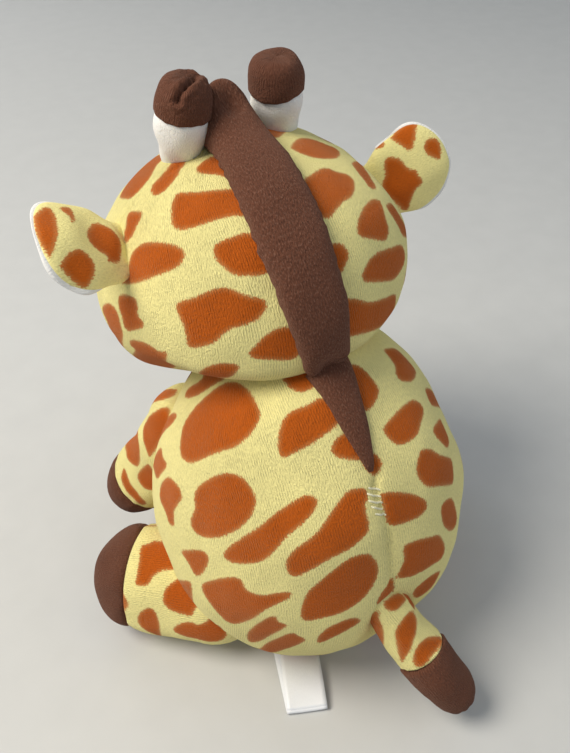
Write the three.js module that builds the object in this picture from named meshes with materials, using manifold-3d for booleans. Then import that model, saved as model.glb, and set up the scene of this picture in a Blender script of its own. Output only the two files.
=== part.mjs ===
// Seated plush giraffe, sewn from short-pile knit and softly stuffed.
// Millimetres. The toy looks along -Y, +X is its own left side, +Z is up,
// and the origin lies on the floor under the middle of its body.
import * as THREE from 'three';
import { mergeVertices } from 'three/addons/utils/BufferGeometryUtils.js';
import Module from 'manifold-3d';

const wasm = await Module();
wasm.setup();

// Cloth and seams
const clothThickness = 1.2;
const seamGap = 0.3;
const seatFlatDepth = 0.5;
const cutReach = 400;

// Body: an egg that is widest low down, with a broad flat seat
const bodyHeight = 134;
const bodyWidth = 114;
const bodyDepth = 108;
const bodyWidestHeight = 57;
const bodySeatWidth = 28;
const bodyLean = 8;
const crownPower = 1.6;
const basePower = 1.9;
const cleftDepth = 6;
const cleftWidth = 15;
const cleftHeight = 30;

// Neck: the stuffing passes through the seam like a ball in a collar
const neckDiameter = 60;
const neckForward = 17;
const neckDrop = 23;
const nodBackAngle = 4;
const nodForwardAngle = 12;

// Head
const headWidth = 103.2;
const headDepth = 98.4;
const headHeight = 87.6;
const headForward = 34.9;
const headRise = 4.1;
const headTiltAngle = -4.6;
const headTuckShare = 0.42;
const headTuckFullShare = 0.5;

// Muzzle
const muzzleWidth = 52;
const muzzleDepth = 42;
const muzzleHeight = 38;
const muzzleDrop = 18;
const muzzleSink = 2;

// Eyes: a domed button on a shank, held by a washer inside the cloth
const eyeDiameter = 11.5;
const eyeDome = 4.2;
const eyeRim = 0.9;
const eyeAroundAngle = 26;
const eyeUpAngle = 7;
const shankDiameter = 3.2;
const shankTail = 1.2;
const washerDiameter = 10;
const washerThickness = 1.4;

// Horns
const hornDiameter = 16;
const hornLength = 24.5;
const hornSink = 6;
const hornAroundAngle = 49;
const hornUpAngle = 64;
const hornLeanIn = 0.11;
const hornLeanBack = 0.19;
const hornSeamShare = 0.45;

// Ears
const earLength = 27.5;
const earWidth = 31;
const earRootWidth = 19;
const earRootDiameter = 6;
const earBackThickness = 3.4;
const earLiningThickness = 2.2;
const earCup = 3.5;
const earFullShare = 0.8;
const earThickShare = 0.33;
const earDomePower = 4.4;
const earLiningRim = 0.8;
const earAroundAngle = 89;
const earBackSweepAngle = 12;
const earLeftUpAngle = 30;
const earLeftLiftAngle = 32;
const earLeftTurnAngle = 62;
const earRightUpAngle = 20;
const earRightLiftAngle = 20;
const earRightTurnAngle = 19;
const earFlapAngle = 22;

// Mane: a padded strip over the head and on down the back
const maneWidth = 19;
const maneThickness = 6;
const maneBumpHeight = 17;
const maneBumpLengthShare = 0.09;
const maneTopWidth = 13.5;
const maneNeckWidth = 15;
const maneDrift = 5;
const maneStartAngle = 107;
const maneEndAngle = -20;
const maneBackDrop = 24;
const maneTipWidth = 2;
const maneTipThickness = 1.5;
const maneBackDrift = 0.8;
const maneWidestShift = 0.1;
const maneSlopeStep = 0.6;
const creaseAngle = 29;
const creaseGapAngle = 1;

// Limbs
const limbDomePower = 5;
const limbRootShare = 0.8;

// Arms
const armDiameter = 28;
const armEndDiameter = 32;
const armLength = 62;
const armHeight = 81;
const armAroundAngle = 41;
const armStandOff = -4.5;
const armOutAngle = 48;
const armDownAngle = 54;
const armBowIn = 8;
const armBowDown = 8;
const armHoofShare = 0.72;
const armRaiseAngle = 40;

// Legs
const legDiameter = 44;
const legEndDiameter = 40;
const legLength = 49;
const legAroundAngle = 84;
const legStandOff = -5;
const legOutAngle = 48;
const legHoofShare = 0.62;
const legRaiseAngle = 15;

// Tail
const tailDiameter = 15.5;
const tailEndDiameter = 19;
const tailLength = 54;
const tailHeight = 50;
const tailStandOff = -1.5;
const tailOutAngle = 28;
const tailDownAngle = 48;
const tailTipShare = 0.52;
const tailWagAngle = 25;

// Label: a folded ribbon sewn into the seam under the body
const labelWidth = 15;
const labelLength = 38;
const ribbonThickness = 0.4;
const ribbonGap = 0.7;
const labelAroundAngle = 134;
const labelTurnAngle = 23;
const labelTuck = 4;

// Pellet bag in the base of the body
const bagDiameter = 34;
const bagHeight = 20;

// Facets
const ballFacets = 12;
const neckFacets = 20;
const hiddenFacets = 10;
const limbFacets = 12;
const limbRings = 6;
const innerFacets = 8;
const innerRings = 4;
const smallFacets = 12;
const bodyFacets = 24;
const bodyRings = 11;
const headFacets = 24;
const headRings = 12;
const coreFacets = 16;
const coreRings = 7;
const earRings = 6;
const eyeDomeRings = 4;
const maneFacets = 8;
const maneHeadRings = 14;
const maneBackRings = 6;
const loopSegments = 4;

const up = new THREE.Vector3(0, 0, 1);
const left = new THREE.Vector3(1, 0, 0);
const back = new THREE.Vector3(0, 1, 0);
const down = up.clone().negate();
const half = (size) => size / 2;
const radians = THREE.MathUtils.degToRad;
const mix = THREE.MathUtils.lerp;
const at = (x, y, z) => new THREE.Vector3(x, y, z);

// Geometry helpers

// Turns a closed three.js mesh into a solid that can be cut and joined, faces pointing out.
function solidOf(geometry) {
  const bare = new THREE.BufferGeometry();
  bare.setAttribute('position', geometry.getAttribute('position'));
  bare.setIndex(geometry.index);
  const welded = mergeVertices(bare);
  const points = new Float32Array(welded.getAttribute('position').array);
  const corner = [new THREE.Vector3(), new THREE.Vector3(), new THREE.Vector3()];
  const triangles = [];
  let volume = 0;
  for (let start = 0; start < welded.index.count; start += 3) {
    const [a, b, c] = [0, 1, 2].map((step) => welded.index.getX(start + step));
    if (a === b || b === c || c === a) continue;
    triangles.push(a, b, c);
    [a, b, c].forEach((index, step) => corner[step].fromArray(points, index * 3));
    volume += corner[0].dot(corner[1].cross(corner[2]));
  }
  if (volume < 0) triangles.reverse();
  return new wasm.Manifold(new wasm.Mesh({
    numProp: 3,
    vertProperties: points,
    triVerts: new Uint32Array(triangles),
  }));
}

function geometryOf(solid) {
  const mesh = solid.getMesh();
  const geometry = new THREE.BufferGeometry();
  geometry.setAttribute('position', new THREE.BufferAttribute(mesh.vertProperties, 3));
  geometry.setIndex(new THREE.BufferAttribute(mesh.triVerts, 1));
  return geometry;
}

function moved(solid, matrix) {
  return solidOf(geometryOf(solid).applyMatrix4(matrix));
}

function mirrored(solid) {
  return moved(solid, new THREE.Matrix4().makeScale(-1, 1, 1));
}

function turnAbout(pivot, axis, angle) {
  return new THREE.Matrix4()
    .makeTranslation(pivot)
    .multiply(new THREE.Matrix4().makeRotationAxis(axis, radians(angle)))
    .multiply(new THREE.Matrix4().makeTranslation(pivot.clone().negate()));
}

// Copies of a solid turned about a pivot, one for each angle.
function turned(solid, pivot, axis, ...angles) {
  return angles.map((angle) => moved(solid, turnAbout(pivot, axis, angle)));
}

function cut(solid, ...cutters) {
  return cutters.reduce((rest, cutter) => rest.subtract(cutter), solid);
}

// The main shell of a solid, without the crumbs and blisters that cuts of curved forms leave.
function mainShell(solid) {
  return solid.decompose().reduce((best, shell) => (shell.volume() > best.volume() ? shell : best));
}

// Closed skin through rings of points, with a pole point at each end.
function skin(rings, firstPole, lastPole) {
  const points = [firstPole, ...rings.flat(), lastPole];
  const around = rings[0].length;
  const spot = (ring, step) => 1 + ring * around + (step % around);
  const triangles = [];
  for (let step = 0; step < around; step += 1) {
    triangles.push(0, spot(0, step + 1), spot(0, step));
    for (let ring = 0; ring + 1 < rings.length; ring += 1) {
      triangles.push(spot(ring, step), spot(ring, step + 1), spot(ring + 1, step + 1));
      triangles.push(spot(ring, step), spot(ring + 1, step + 1), spot(ring + 1, step));
    }
    const end = rings.length - 1;
    triangles.push(points.length - 1, spot(end, step), spot(end, step + 1));
  }
  const geometry = new THREE.BufferGeometry().setFromPoints(points);
  geometry.setIndex(triangles);
  return solidOf(geometry);
}

function ringAt(centre, acrossOne, acrossTwo, halfOne, halfTwo, facets) {
  return Array.from({ length: facets }, (_, step) => {
    const angle = (2 * Math.PI * step) / facets;
    return centre.clone()
      .addScaledVector(acrossOne, halfOne * Math.cos(angle))
      .addScaledVector(acrossTwo, halfTwo * Math.sin(angle));
  });
}

function ball(centre, radius, facets = ballFacets) {
  const sphere = new THREE.SphereGeometry(radius, facets, half(facets));
  return solidOf(sphere.rotateX(half(Math.PI)).translate(centre.x, centre.y, centre.z));
}

// A hollow whose flats, too, stay a seam gap away from a ball of this radius.
function socket(centre, radius, facets = ballFacets) {
  const flat = Math.cos(Math.PI / facets) ** 2;
  return ball(centre, (radius + seamGap) / flat, facets);
}

// Everything on the side of a plane that its normal points to.
function halfSpace(point, normal) {
  const block = new THREE.BoxGeometry(cutReach, cutReach, cutReach);
  const turn = new THREE.Quaternion().setFromUnitVectors(up, normal.clone().normalize());
  block.translate(0, 0, half(cutReach)).applyQuaternion(turn);
  return solidOf(block.translate(point.x, point.y, point.z));
}

// A tube along a spine: drawn in where it is sewn on at the root, with a soft dome at the tip.
function tube(spine, radiusAt, facets, rings, inset = 0) {
  const length = spine.getLength();
  const list = [];
  for (let ring = 0; ring < rings; ring += 1) {
    const share = Math.sin(half(Math.PI) * (ring / rings));
    const place = share * (1 - inset / length);
    const tangent = spine.getTangentAt(place);
    const across = up.clone().cross(tangent).normalize();
    const drawnIn = ring > 0 ? 1 : limbRootShare;
    const radius = drawnIn * (radiusAt(share) - inset) * Math.sqrt(1 - share ** limbDomePower);
    const upright = tangent.clone().cross(across);
    list.push(ringAt(spine.getPointAt(place), across, upright, radius, radius, facets));
  }
  return skin(list, spine.getPointAt(0), spine.getPointAt(1 - inset / length));
}

// Body

// How far the middle of the body has leant forward at a height above the floor.
function leanAt(height) {
  const share = (height - bodyWidestHeight) / (bodyHeight - bodyWidestHeight);
  return bodyLean * Math.max(0, share) ** 2;
}

// Half width and half depth of the body at a height above the floor.
function bodySection(height, inset = 0) {
  const rise = height - bodyWidestHeight;
  const reach = rise > 0 ? bodyHeight - bodyWidestHeight : bodyWidestHeight + seatFlatDepth;
  const power = rise > 0 ? crownPower : basePower;
  const fullness = Math.sqrt(Math.max(0, 1 - (Math.abs(rise) / (reach - inset)) ** power));
  const seat = rise > 0 ? 0 : half(bodySeatWidth) - inset;
  return [half(bodyWidth), half(bodyDepth)].map((size) => mix(seat, size - inset, fullness));
}

// The seam down the back is drawn in where the tail is sewn on.
function cleftAt(point) {
  if (point.y < 0) return 0;
  const low = (point.z - tailHeight + half(cleftHeight) / 2) / half(cleftHeight);
  const aside = point.x / half(cleftWidth);
  return cleftDepth * Math.exp(-aside * aside - low * low);
}

function bodyForm(inset, facets, rings) {
  const list = [];
  for (let ring = 1; ring < rings; ring += 1) {
    const angle = Math.PI * (ring / rings - 1 / 2);
    const reach = angle > 0 ? bodyHeight - bodyWidestHeight : bodyWidestHeight + seatFlatDepth;
    const height = bodyWidestHeight + (reach - inset) * Math.sin(angle);
    const section = bodySection(height, inset);
    list.push(ringAt(at(0, -leanAt(height), height), left, back, ...section, facets));
  }
  list.flat().forEach((point) => point.setY(point.y - cleftAt(point)));
  const base = at(0, 0, inset - seatFlatDepth);
  const seat = half(bodySeatWidth) - inset;
  list.unshift(ringAt(base, left, back, seat, seat, facets));
  return skin(list, base, at(0, -bodyLean, bodyHeight - inset));
}

// A point off the body: height above the floor, angle from the front towards the toy's left,
// and how far it stands off the cloth.
function onBody(height, aroundAngle, standOff = 0) {
  const [halfWidth, halfDepth] = bodySection(height, -standOff);
  const turn = radians(aroundAngle);
  const point = at(halfWidth * Math.sin(turn), -halfDepth * Math.cos(turn) - leanAt(height), height);
  return point.setY(point.y - cleftAt(point));
}

// Head

const headCentre = at(0, -headForward, bodyHeight + headRise);
const headTilt = new THREE.Quaternion().setFromAxisAngle(left, radians(headTiltAngle));
const headHalves = at(half(headWidth), half(headDepth), half(headHeight));

// The back of the head sits on the shoulders, which press its underside up.
function tuckedHead(share) {
  const behind = Math.min(1, Math.max(0, share.y / headTuckFullShare));
  if (share.z < 0) share.z *= 1 - headTuckShare * behind;
  return share;
}

function headForm(inset, facets, rings) {
  const sphere = new THREE.SphereGeometry(1, facets, rings).rotateX(half(Math.PI));
  const points = sphere.getAttribute('position');
  const halves = headHalves.clone().subScalar(inset);
  for (let index = 0; index < points.count; index += 1) {
    const share = tuckedHead(new THREE.Vector3().fromBufferAttribute(points, index));
    points.setXYZ(index, ...share.multiply(halves).applyQuaternion(headTilt).add(headCentre));
  }
  return solidOf(sphere);
}

// A point on the head and the way out of it there: angle from the front, and angle up.
function onHead(aroundAngle, upAngle) {
  const [turn, rise] = [radians(aroundAngle), radians(upAngle)];
  const share = at(Math.sin(turn) * Math.cos(rise), -Math.cos(turn) * Math.cos(rise), Math.sin(rise));
  const point = share.clone().multiply(headHalves).applyQuaternion(headTilt).add(headCentre);
  const out = share.divide(headHalves).applyQuaternion(headTilt).normalize();
  return { point, out };
}

// Neck

const neckPivot = at(0, -neckForward, bodyHeight - neckDrop);
const neckRadius = half(neckDiameter);
const neckSocket = socket(neckPivot, neckRadius, neckFacets);

const floorCut = halfSpace(at(0, 0, 0), down);
const bodySolid = cut(bodyForm(0, bodyFacets, bodyRings), floorCut);
const clearOfBody = (gap) => bodyForm(-gap, bodyFacets, bodyRings);
const headKeepOut = headForm(-seamGap, headFacets, headRings);
const bodyUnderHead = turned(
  clearOfBody(2 * seamGap),
  neckPivot,
  left,
  -nodForwardAngle,
  0,
  nodBackAngle,
);

// Limbs

function limbSpine(pivot, direction, length, bow) {
  const tip = pivot.clone().addScaledVector(direction, length);
  const middle = pivot.clone().lerp(tip, 1 / 2).add(bow);
  return new THREE.QuadraticBezierCurve3(pivot, middle, tip);
}

function directionOf(outAngle, upAngle) {
  const [turn, rise] = [radians(outAngle), radians(upAngle)];
  return at(Math.sin(turn) * Math.cos(rise), -Math.cos(turn) * Math.cos(rise), Math.sin(rise));
}

// A stuffed limb with a ball root: sleeve, contrasting end piece and stuffing.
// clearOf gives the cutters that hold the limb a gap away from the body.
function limb({ spine, rootRadius, endRadius, seamShare, clearOf }) {
  const pivot = spine.getPointAt(0);
  const radiusAt = (share) => mix(rootRadius, endRadius, share);
  const form = (inset, facets, rings, gap) => cut(
    cut(tube(spine, radiusAt, facets, rings, inset), ...clearOf(gap)).add(ball(pivot, rootRadius - inset)),
    floorCut,
  );
  const seamPoint = spine.getPointAt(seamShare);
  const seamDirection = spine.getTangentAt(seamShare);
  const seamPlane = (offset, side) => halfSpace(
    seamPoint.clone().addScaledVector(seamDirection, offset),
    seamDirection.clone().multiplyScalar(side),
  );
  const hollow = form(clothThickness, innerFacets, innerRings, 0);
  const cover = cut(form(0, limbFacets, limbRings, seamGap), hollow);
  return {
    sleeve: cut(cover, seamPlane(-half(seamGap), 1)),
    end: cut(cover, seamPlane(half(seamGap), -1)),
    stuffing: form(clothThickness + seamGap, innerFacets, innerRings, 2 * seamGap),
  };
}

// Arms

const armPivot = onBody(armHeight, armAroundAngle, armStandOff);
const armDirection = directionOf(armOutAngle, -armDownAngle);
const arm = limb({
  spine: limbSpine(armPivot, armDirection, armLength, at(-armBowIn, 0, -armBowDown)),
  rootRadius: half(armDiameter),
  endRadius: half(armEndDiameter),
  seamShare: armHoofShare,
  clearOf: (gap) => [clearOfBody(gap)],
});

// Legs: they lie on the floor, so their height follows their thickness

const legPivot = onBody(half(legDiameter) - seatFlatDepth, legAroundAngle, legStandOff);
const legFall = THREE.MathUtils.radToDeg(Math.asin(half(legDiameter - legEndDiameter) / legLength));
const legDirection = directionOf(legOutAngle, -legFall);
const legAxis = legDirection.clone().cross(up).normalize();
const leg = limb({
  spine: limbSpine(legPivot, legDirection, legLength, at(0, 0, 0)),
  rootRadius: half(legDiameter),
  endRadius: half(legEndDiameter),
  seamShare: legHoofShare,
  clearOf: (gap) => turned(clearOfBody(gap), legPivot, legAxis, -legRaiseAngle, 0),
});

// Tail

const tailPivot = onBody(tailHeight, 180, tailStandOff);
const tailDirection = directionOf(180 + tailOutAngle, -tailDownAngle);
const tail = limb({
  spine: limbSpine(tailPivot, tailDirection, tailLength, at(0, 0, 0)),
  rootRadius: half(tailDiameter),
  endRadius: half(tailEndDiameter),
  seamShare: tailTipShare,
  clearOf: (gap) => turned(clearOfBody(gap), tailPivot, up, -tailWagAngle, 0, tailWagAngle),
});

// Pellet bag

const bagFloor = clothThickness - seatFlatDepth + seamGap;

function bagForm(inset) {
  const sphere = new THREE.SphereGeometry(1, coreFacets, coreRings).rotateX(half(Math.PI));
  const radius = half(bagDiameter) - inset;
  sphere.scale(radius, radius, half(bagHeight) - inset);
  return solidOf(sphere.translate(0, 0, bagFloor + half(bagHeight)));
}

// Eyes

const washerTop = -(clothThickness + 2 * seamGap);
const washerBottom = washerTop - washerThickness;

function eyeLathe(outline) {
  return new THREE.LatheGeometry(outline, smallFacets).rotateX(half(Math.PI));
}

function eyeFrame() {
  const { point, out } = onHead(eyeAroundAngle, eyeUpAngle);
  const turn = new THREE.Quaternion().setFromUnitVectors(up, out);
  return new THREE.Matrix4().compose(point, turn, at(1, 1, 1));
}

function eyeButton() {
  const outline = [new THREE.Vector2(0, washerBottom - shankTail)];
  outline.push(new THREE.Vector2(half(shankDiameter), outline[0].y));
  outline.push(new THREE.Vector2(half(shankDiameter), seamGap));
  outline.push(new THREE.Vector2(half(eyeDiameter), seamGap));
  for (let step = 0; step <= eyeDomeRings; step += 1) {
    const angle = half(Math.PI) * (step / eyeDomeRings);
    const rise = seamGap + eyeRim + (eyeDome - eyeRim) * Math.sin(angle);
    outline.push(new THREE.Vector2(half(eyeDiameter) * Math.cos(angle), rise));
  }
  outline[outline.length - 1].x = 0;
  return solidOf(eyeLathe(outline).applyMatrix4(eyeFrame()));
}

function eyePlug(diameter, top, bottom) {
  const plug = new THREE.CylinderGeometry(half(diameter), half(diameter), top - bottom, smallFacets);
  plug.rotateX(half(Math.PI)).translate(0, 0, (top + bottom) / 2);
  return solidOf(plug.applyMatrix4(eyeFrame()));
}

const shankHole = eyePlug(shankDiameter + 2 * seamGap, clothThickness, 2 * washerBottom);
const eyeWasher = cut(eyePlug(washerDiameter, washerTop, washerBottom), shankHole);
const eyeClear = eyePlug(washerDiameter + 2 * seamGap, washerTop + seamGap, washerBottom - shankTail - seamGap);
const eyeHoles = [shankHole, mirrored(shankHole)];
const eyePockets = [eyeClear, mirrored(eyeClear)];

// Horns

function hornParts() {
  const { point } = onHead(hornAroundAngle, hornUpAngle);
  const lean = at(-hornLeanIn, hornLeanBack, 1).normalize();
  const root = point.clone().addScaledVector(lean, -hornSink);
  const spine = new THREE.LineCurve3(root, point.clone().addScaledVector(lean, hornLength));
  const radius = () => half(hornDiameter);
  const cover = cut(
    tube(spine, radius, limbFacets, limbRings),
    tube(spine, radius, innerFacets, innerRings, clothThickness),
    headKeepOut,
  );
  const seam = point.clone().addScaledVector(lean, hornLength * hornSeamShare);
  const lowSide = seam.clone().addScaledVector(lean, -half(seamGap));
  const highSide = seam.clone().addScaledVector(lean, half(seamGap));
  const core = tube(spine, radius, innerFacets, innerRings, clothThickness + seamGap);
  return {
    stalk: cut(cover, halfSpace(lowSide, lean)),
    cap: cut(cover, halfSpace(highSide, lean.clone().negate())),
    stuffing: cut(core, headKeepOut),
  };
}

const horn = hornParts();

// Ears

// Directions of an ear: along it, out of its lined face, and across it from seam to seam.
// Turning it about its length brings its lower edge back and its lined face down.
function earFrame(side, upAngle, liftAngle, turnAngle) {
  const { point, out } = onHead(side * earAroundAngle, upAngle);
  const [rise, sweepBack] = [radians(liftAngle), radians(earBackSweepAngle)];
  const along = at(side * Math.cos(rise) * Math.cos(sweepBack), Math.sin(sweepBack), Math.sin(rise));
  along.normalize();
  const across = along.clone().cross(back).normalize();
  const face = across.clone().cross(along).normalize();
  face.multiplyScalar(-Math.sign(face.y));
  const turn = new THREE.Quaternion().setFromAxisAngle(along, side * radians(turnAngle));
  return { root: point, out, along, across: across.applyQuaternion(turn), face: face.applyQuaternion(turn) };
}

// One layer of the ear: flat against the other layer, swelling on its own side, cupped forward.
function earLayer({ root, along, across, face }, side, thickness, rim) {
  const facets = smallFacets;
  const rings = [];
  for (let station = 0; station < earRings; station += 1) {
    const share = Math.sin(half(Math.PI) * (station / earRings));
    const swell = 1 - (1 - Math.min(1, share / earFullShare)) ** 2;
    const dome = Math.sqrt(1 - share ** earDomePower);
    const halfWidth = mix(half(earRootWidth), half(earWidth) + rim, swell) * dome;
    const depth = mix(half(earRootDiameter), thickness, Math.min(1, share / earThickShare)) * dome;
    const reach = share * (earLength + rim);
    const centre = root.clone().addScaledVector(along, reach);
    rings.push(ringAt(centre, across, face, halfWidth, 0, facets).map((point, step) => {
      const angle = (2 * Math.PI * step) / facets;
      const aside = (halfWidth * Math.cos(angle)) / half(earWidth);
      const cupped = earCup * (reach / earLength) * aside ** 2;
      const rise = half(seamGap) + depth * Math.max(0, Math.sin(angle));
      return point.addScaledVector(face, side * rise + cupped);
    }));
  }
  const middle = root.clone().addScaledVector(face, side * half(seamGap));
  const tip = root.clone().addScaledVector(along, earLength + rim).addScaledVector(face, side * half(seamGap));
  return skin(rings, middle, tip);
}

// The rolled root of an ear, round about its hinge line.
function earRoot({ root, across }, grow) {
  const radius = half(earRootDiameter) + grow;
  const reach = half(earRootWidth) - half(earRootDiameter);
  const roll = new THREE.CapsuleGeometry(radius, 2 * reach, smallFacets / 4, smallFacets);
  const turn = new THREE.Quaternion().setFromUnitVectors(back, across);
  return solidOf(roll.applyQuaternion(turn).translate(root.x, root.y, root.z));
}

function earParts(side, ...angles) {
  const frame = earFrame(side, ...angles);
  const roll = earRoot(frame, 0);
  const pocket = earRoot(frame, 2 * seamGap);
  const seat = halfSpace(frame.root.clone().addScaledVector(frame.out, seamGap), frame.out.clone().negate());
  const headSide = turned(seat, frame.root, frame.across, -earFlapAngle, earFlapAngle);
  return {
    frame,
    pocket,
    back: cut(earLayer(frame, -1, earBackThickness, 0), ...headSide).add(roll),
    lining: cut(earLayer(frame, 1, earLiningThickness, earLiningRim), ...headSide, earRoot(frame, seamGap)),
  };
}

const earLeft = earParts(1, earLeftUpAngle, earLeftLiftAngle, earLeftTurnAngle);
const earRight = earParts(-1, earRightUpAngle, earRightLiftAngle, earRightTurnAngle);

// Muzzle

function muzzleForm(inset) {
  const sphere = new THREE.SphereGeometry(1, coreFacets, coreRings).rotateX(half(Math.PI));
  sphere.scale(half(muzzleWidth) - inset, half(muzzleDepth) - inset, half(muzzleHeight) - inset);
  const front = headCentre.y - headHalves.y + muzzleSink;
  return solidOf(sphere.translate(0, front, headCentre.z - muzzleDrop));
}

// Mane

// A point on the head's middle line, drifted to the toy's left where the strip bows out.
function maneOnHead(share) {
  const rise = radians(mix(maneStartAngle, maneEndAngle, share));
  const drift = maneDrift * Math.sin(Math.PI * share);
  const shrink = Math.sqrt(1 - (drift / headHalves.x) ** 2);
  const unit = at(drift / headHalves.x, shrink * Math.cos(rise), shrink * Math.sin(rise));
  const point = unit.clone().multiply(headHalves).applyQuaternion(headTilt).add(headCentre);
  return { point, out: unit.divide(headHalves).applyQuaternion(headTilt).normalize() };
}

function maneStrip(places, widthAt, heightAt, facets) {
  const spine = new THREE.CatmullRomCurve3(places.map(({ point }) => point));
  const rings = places.map(({ out }, step) => {
    const share = step / (places.length - 1);
    const across = spine.getTangent(share).cross(out).normalize();
    return ringAt(places[step].point, across, out, half(widthAt(share)), heightAt(share), facets);
  });
  return skin(rings, places[0].point, places[places.length - 1].point);
}

// Everything on one side of the plane through the neck that parts the two strips of the mane.
function creasePlane(angle, side) {
  const turn = radians(angle);
  return halfSpace(neckPivot, at(0, -Math.sin(turn), Math.cos(turn)).multiplyScalar(side));
}

function maneHead() {
  const places = Array.from({ length: maneHeadRings + 1 }, (_, ring) => maneOnHead(ring / maneHeadRings));
  const widthAt = (share) => {
    const taper = mix(maneTopWidth, maneNeckWidth, share);
    return mix(taper, maneWidth, Math.sin(Math.PI * Math.min(1, share + maneWidestShift)));
  };
  const heightAt = (share) => {
    const bump = (maneBumpHeight - maneThickness) * Math.exp(-((share / maneBumpLengthShare) ** 2));
    return maneThickness + bump;
  };
  const strip = maneStrip(places, widthAt, heightAt, maneFacets);
  return cut(strip, headKeepOut, creasePlane(creaseAngle + nodBackAngle, -1));
}

function maneBack() {
  const startHeight = bodyHeight - maneThickness;
  const endHeight = startHeight - maneBackDrop;
  const places = Array.from({ length: maneBackRings + 1 }, (_, ring) => {
    const share = ring / maneBackRings;
    const height = mix(startHeight, endHeight, share);
    const point = onBody(height, 180);
    const next = onBody(height - maneSlopeStep, 180);
    const out = left.clone().cross(next.sub(point)).normalize();
    const drift = maneBackDrift * (1 - share);
    return { point: point.setX(drift), out: out.multiplyScalar(Math.sign(out.z)) };
  });
  const widthAt = (share) => mix(maneNeckWidth, maneTipWidth, share);
  const heightAt = (share) => mix(maneThickness, maneTipThickness, share);
  const strip = maneStrip(places, widthAt, heightAt, maneFacets);
  const crease = creasePlane(creaseAngle - creaseGapAngle, 1);
  const headAbove = turned(headKeepOut, neckPivot, left, -nodBackAngle, 0);
  return cut(strip, clearOfBody(seamGap), neckSocket, crease, ...headAbove);
}

// Label

function label() {
  const loopHeight = 2 * ribbonThickness + ribbonGap;
  const slotEnd = labelLength - half(loopHeight);
  const outline = new THREE.Shape();
  outline.moveTo(0, 0);
  outline.lineTo(slotEnd, 0);
  outline.absarc(slotEnd, half(loopHeight), half(loopHeight), -half(Math.PI), half(Math.PI));
  outline.lineTo(0, loopHeight);
  const slot = new THREE.Path();
  slot.moveTo(ribbonThickness, ribbonThickness);
  slot.lineTo(slotEnd, ribbonThickness);
  slot.lineTo(slotEnd, loopHeight - ribbonThickness);
  slot.lineTo(ribbonThickness, loopHeight - ribbonThickness);
  outline.holes.push(slot);
  const settings = { depth: labelWidth, bevelEnabled: false, curveSegments: loopSegments };
  const ribbon = new THREE.ExtrudeGeometry(outline, settings);
  ribbon.translate(0, 0, -half(labelWidth)).rotateX(half(Math.PI));
  ribbon.rotateZ(radians(labelAroundAngle - 90 + labelTurnAngle));
  const [halfWidth, halfDepth] = bodySection(loopHeight + seamGap);
  const turn = radians(labelAroundAngle);
  const reachShare = 1 - labelTuck / halfWidth;
  const root = at(halfWidth * Math.sin(turn), -halfDepth * Math.cos(turn), 0).multiplyScalar(reachShare);
  return cut(solidOf(ribbon.translate(root.x, root.y, seamGap)), clearOfBody(seamGap));
}

// Pieces that are cut by their neighbours

const limbSockets = (facets) => {
  const armSocket = socket(armPivot, half(armDiameter), facets);
  const legSocket = socket(legPivot, half(legDiameter), facets);
  const tailSocket = socket(tailPivot, half(tailDiameter), facets);
  return [armSocket, mirrored(armSocket), legSocket, mirrored(legSocket), tailSocket];
};
const bodyCover = cut(
  bodySolid,
  bodyForm(clothThickness, coreFacets, coreRings),
  neckSocket,
  ...limbSockets(ballFacets),
);
const bodyStuffing = cut(
  bodyForm(clothThickness + seamGap, coreFacets, coreRings),
  neckSocket,
  ...limbSockets(hiddenFacets),
  bagForm(-seamGap),
);
const earPockets = [earLeft.pocket, earRight.pocket];
const headCover = cut(
  headForm(0, headFacets, headRings),
  headForm(clothThickness, coreFacets, coreRings),
  neckSocket,
  ...bodyUnderHead,
  ...earPockets,
  ...eyeHoles,
  ...eyePockets,
);
const headStuffing = cut(
  headForm(clothThickness + seamGap, coreFacets, coreRings),
  ...bodyUnderHead,
  ...earPockets,
  ...eyePockets,
).add(ball(neckPivot, neckRadius, neckFacets));
const muzzleCover = cut(muzzleForm(0), muzzleForm(clothThickness), headKeepOut);
const muzzleStuffing = cut(muzzleForm(clothThickness + seamGap), headKeepOut);

// Finishes

const finish = (color, roughness) => new THREE.MeshStandardMaterial({ color, roughness, metalness: 0 });
const yellowPlush = finish(0xe9d98c, 0.95);
const creamPlush = finish(0xefe6cf, 0.95);
const brownPlush = finish(0x5a3a34, 0.95);
const whitePlush = finish(0xeeeae4, 0.95);
const fibre = finish(0xf2f2ee, 1);
const pelletCloth = finish(0xdedbd0, 0.9);
const blackPlastic = finish(0x120d0b, 0.15);
const clearPlastic = finish(0xcfd2d4, 0.4);
const satin = finish(0xf4f4f6, 0.5);

function piece(name, solid, material) {
  const geometry = geometryOf(mainShell(solid));
  geometry.computeVertexNormals();
  const mesh = new THREE.Mesh(geometry, material);
  mesh.name = name;
  return mesh;
}

function limbGroup(name, { sleeve, end, stuffing }, endName) {
  return new THREE.Group().add(
    piece(`${name}_sleeve`, sleeve, yellowPlush),
    piece(`${name}_${endName}`, end, brownPlush),
    piece(`${name}_stuffing`, stuffing, fibre),
  );
}

function mirroredParts(parts) {
  return Object.fromEntries(Object.entries(parts).map(([name, solid]) => [name, mirrored(solid)]));
}

const bodyGroup = new THREE.Group().add(
  piece('body_cover', bodyCover, yellowPlush),
  piece('body_stuffing', bodyStuffing, fibre),
  piece('pellet_bag', bagForm(0), pelletCloth),
  piece('mane_back', maneBack(), brownPlush),
  piece('label', label(), satin),
);

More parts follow.
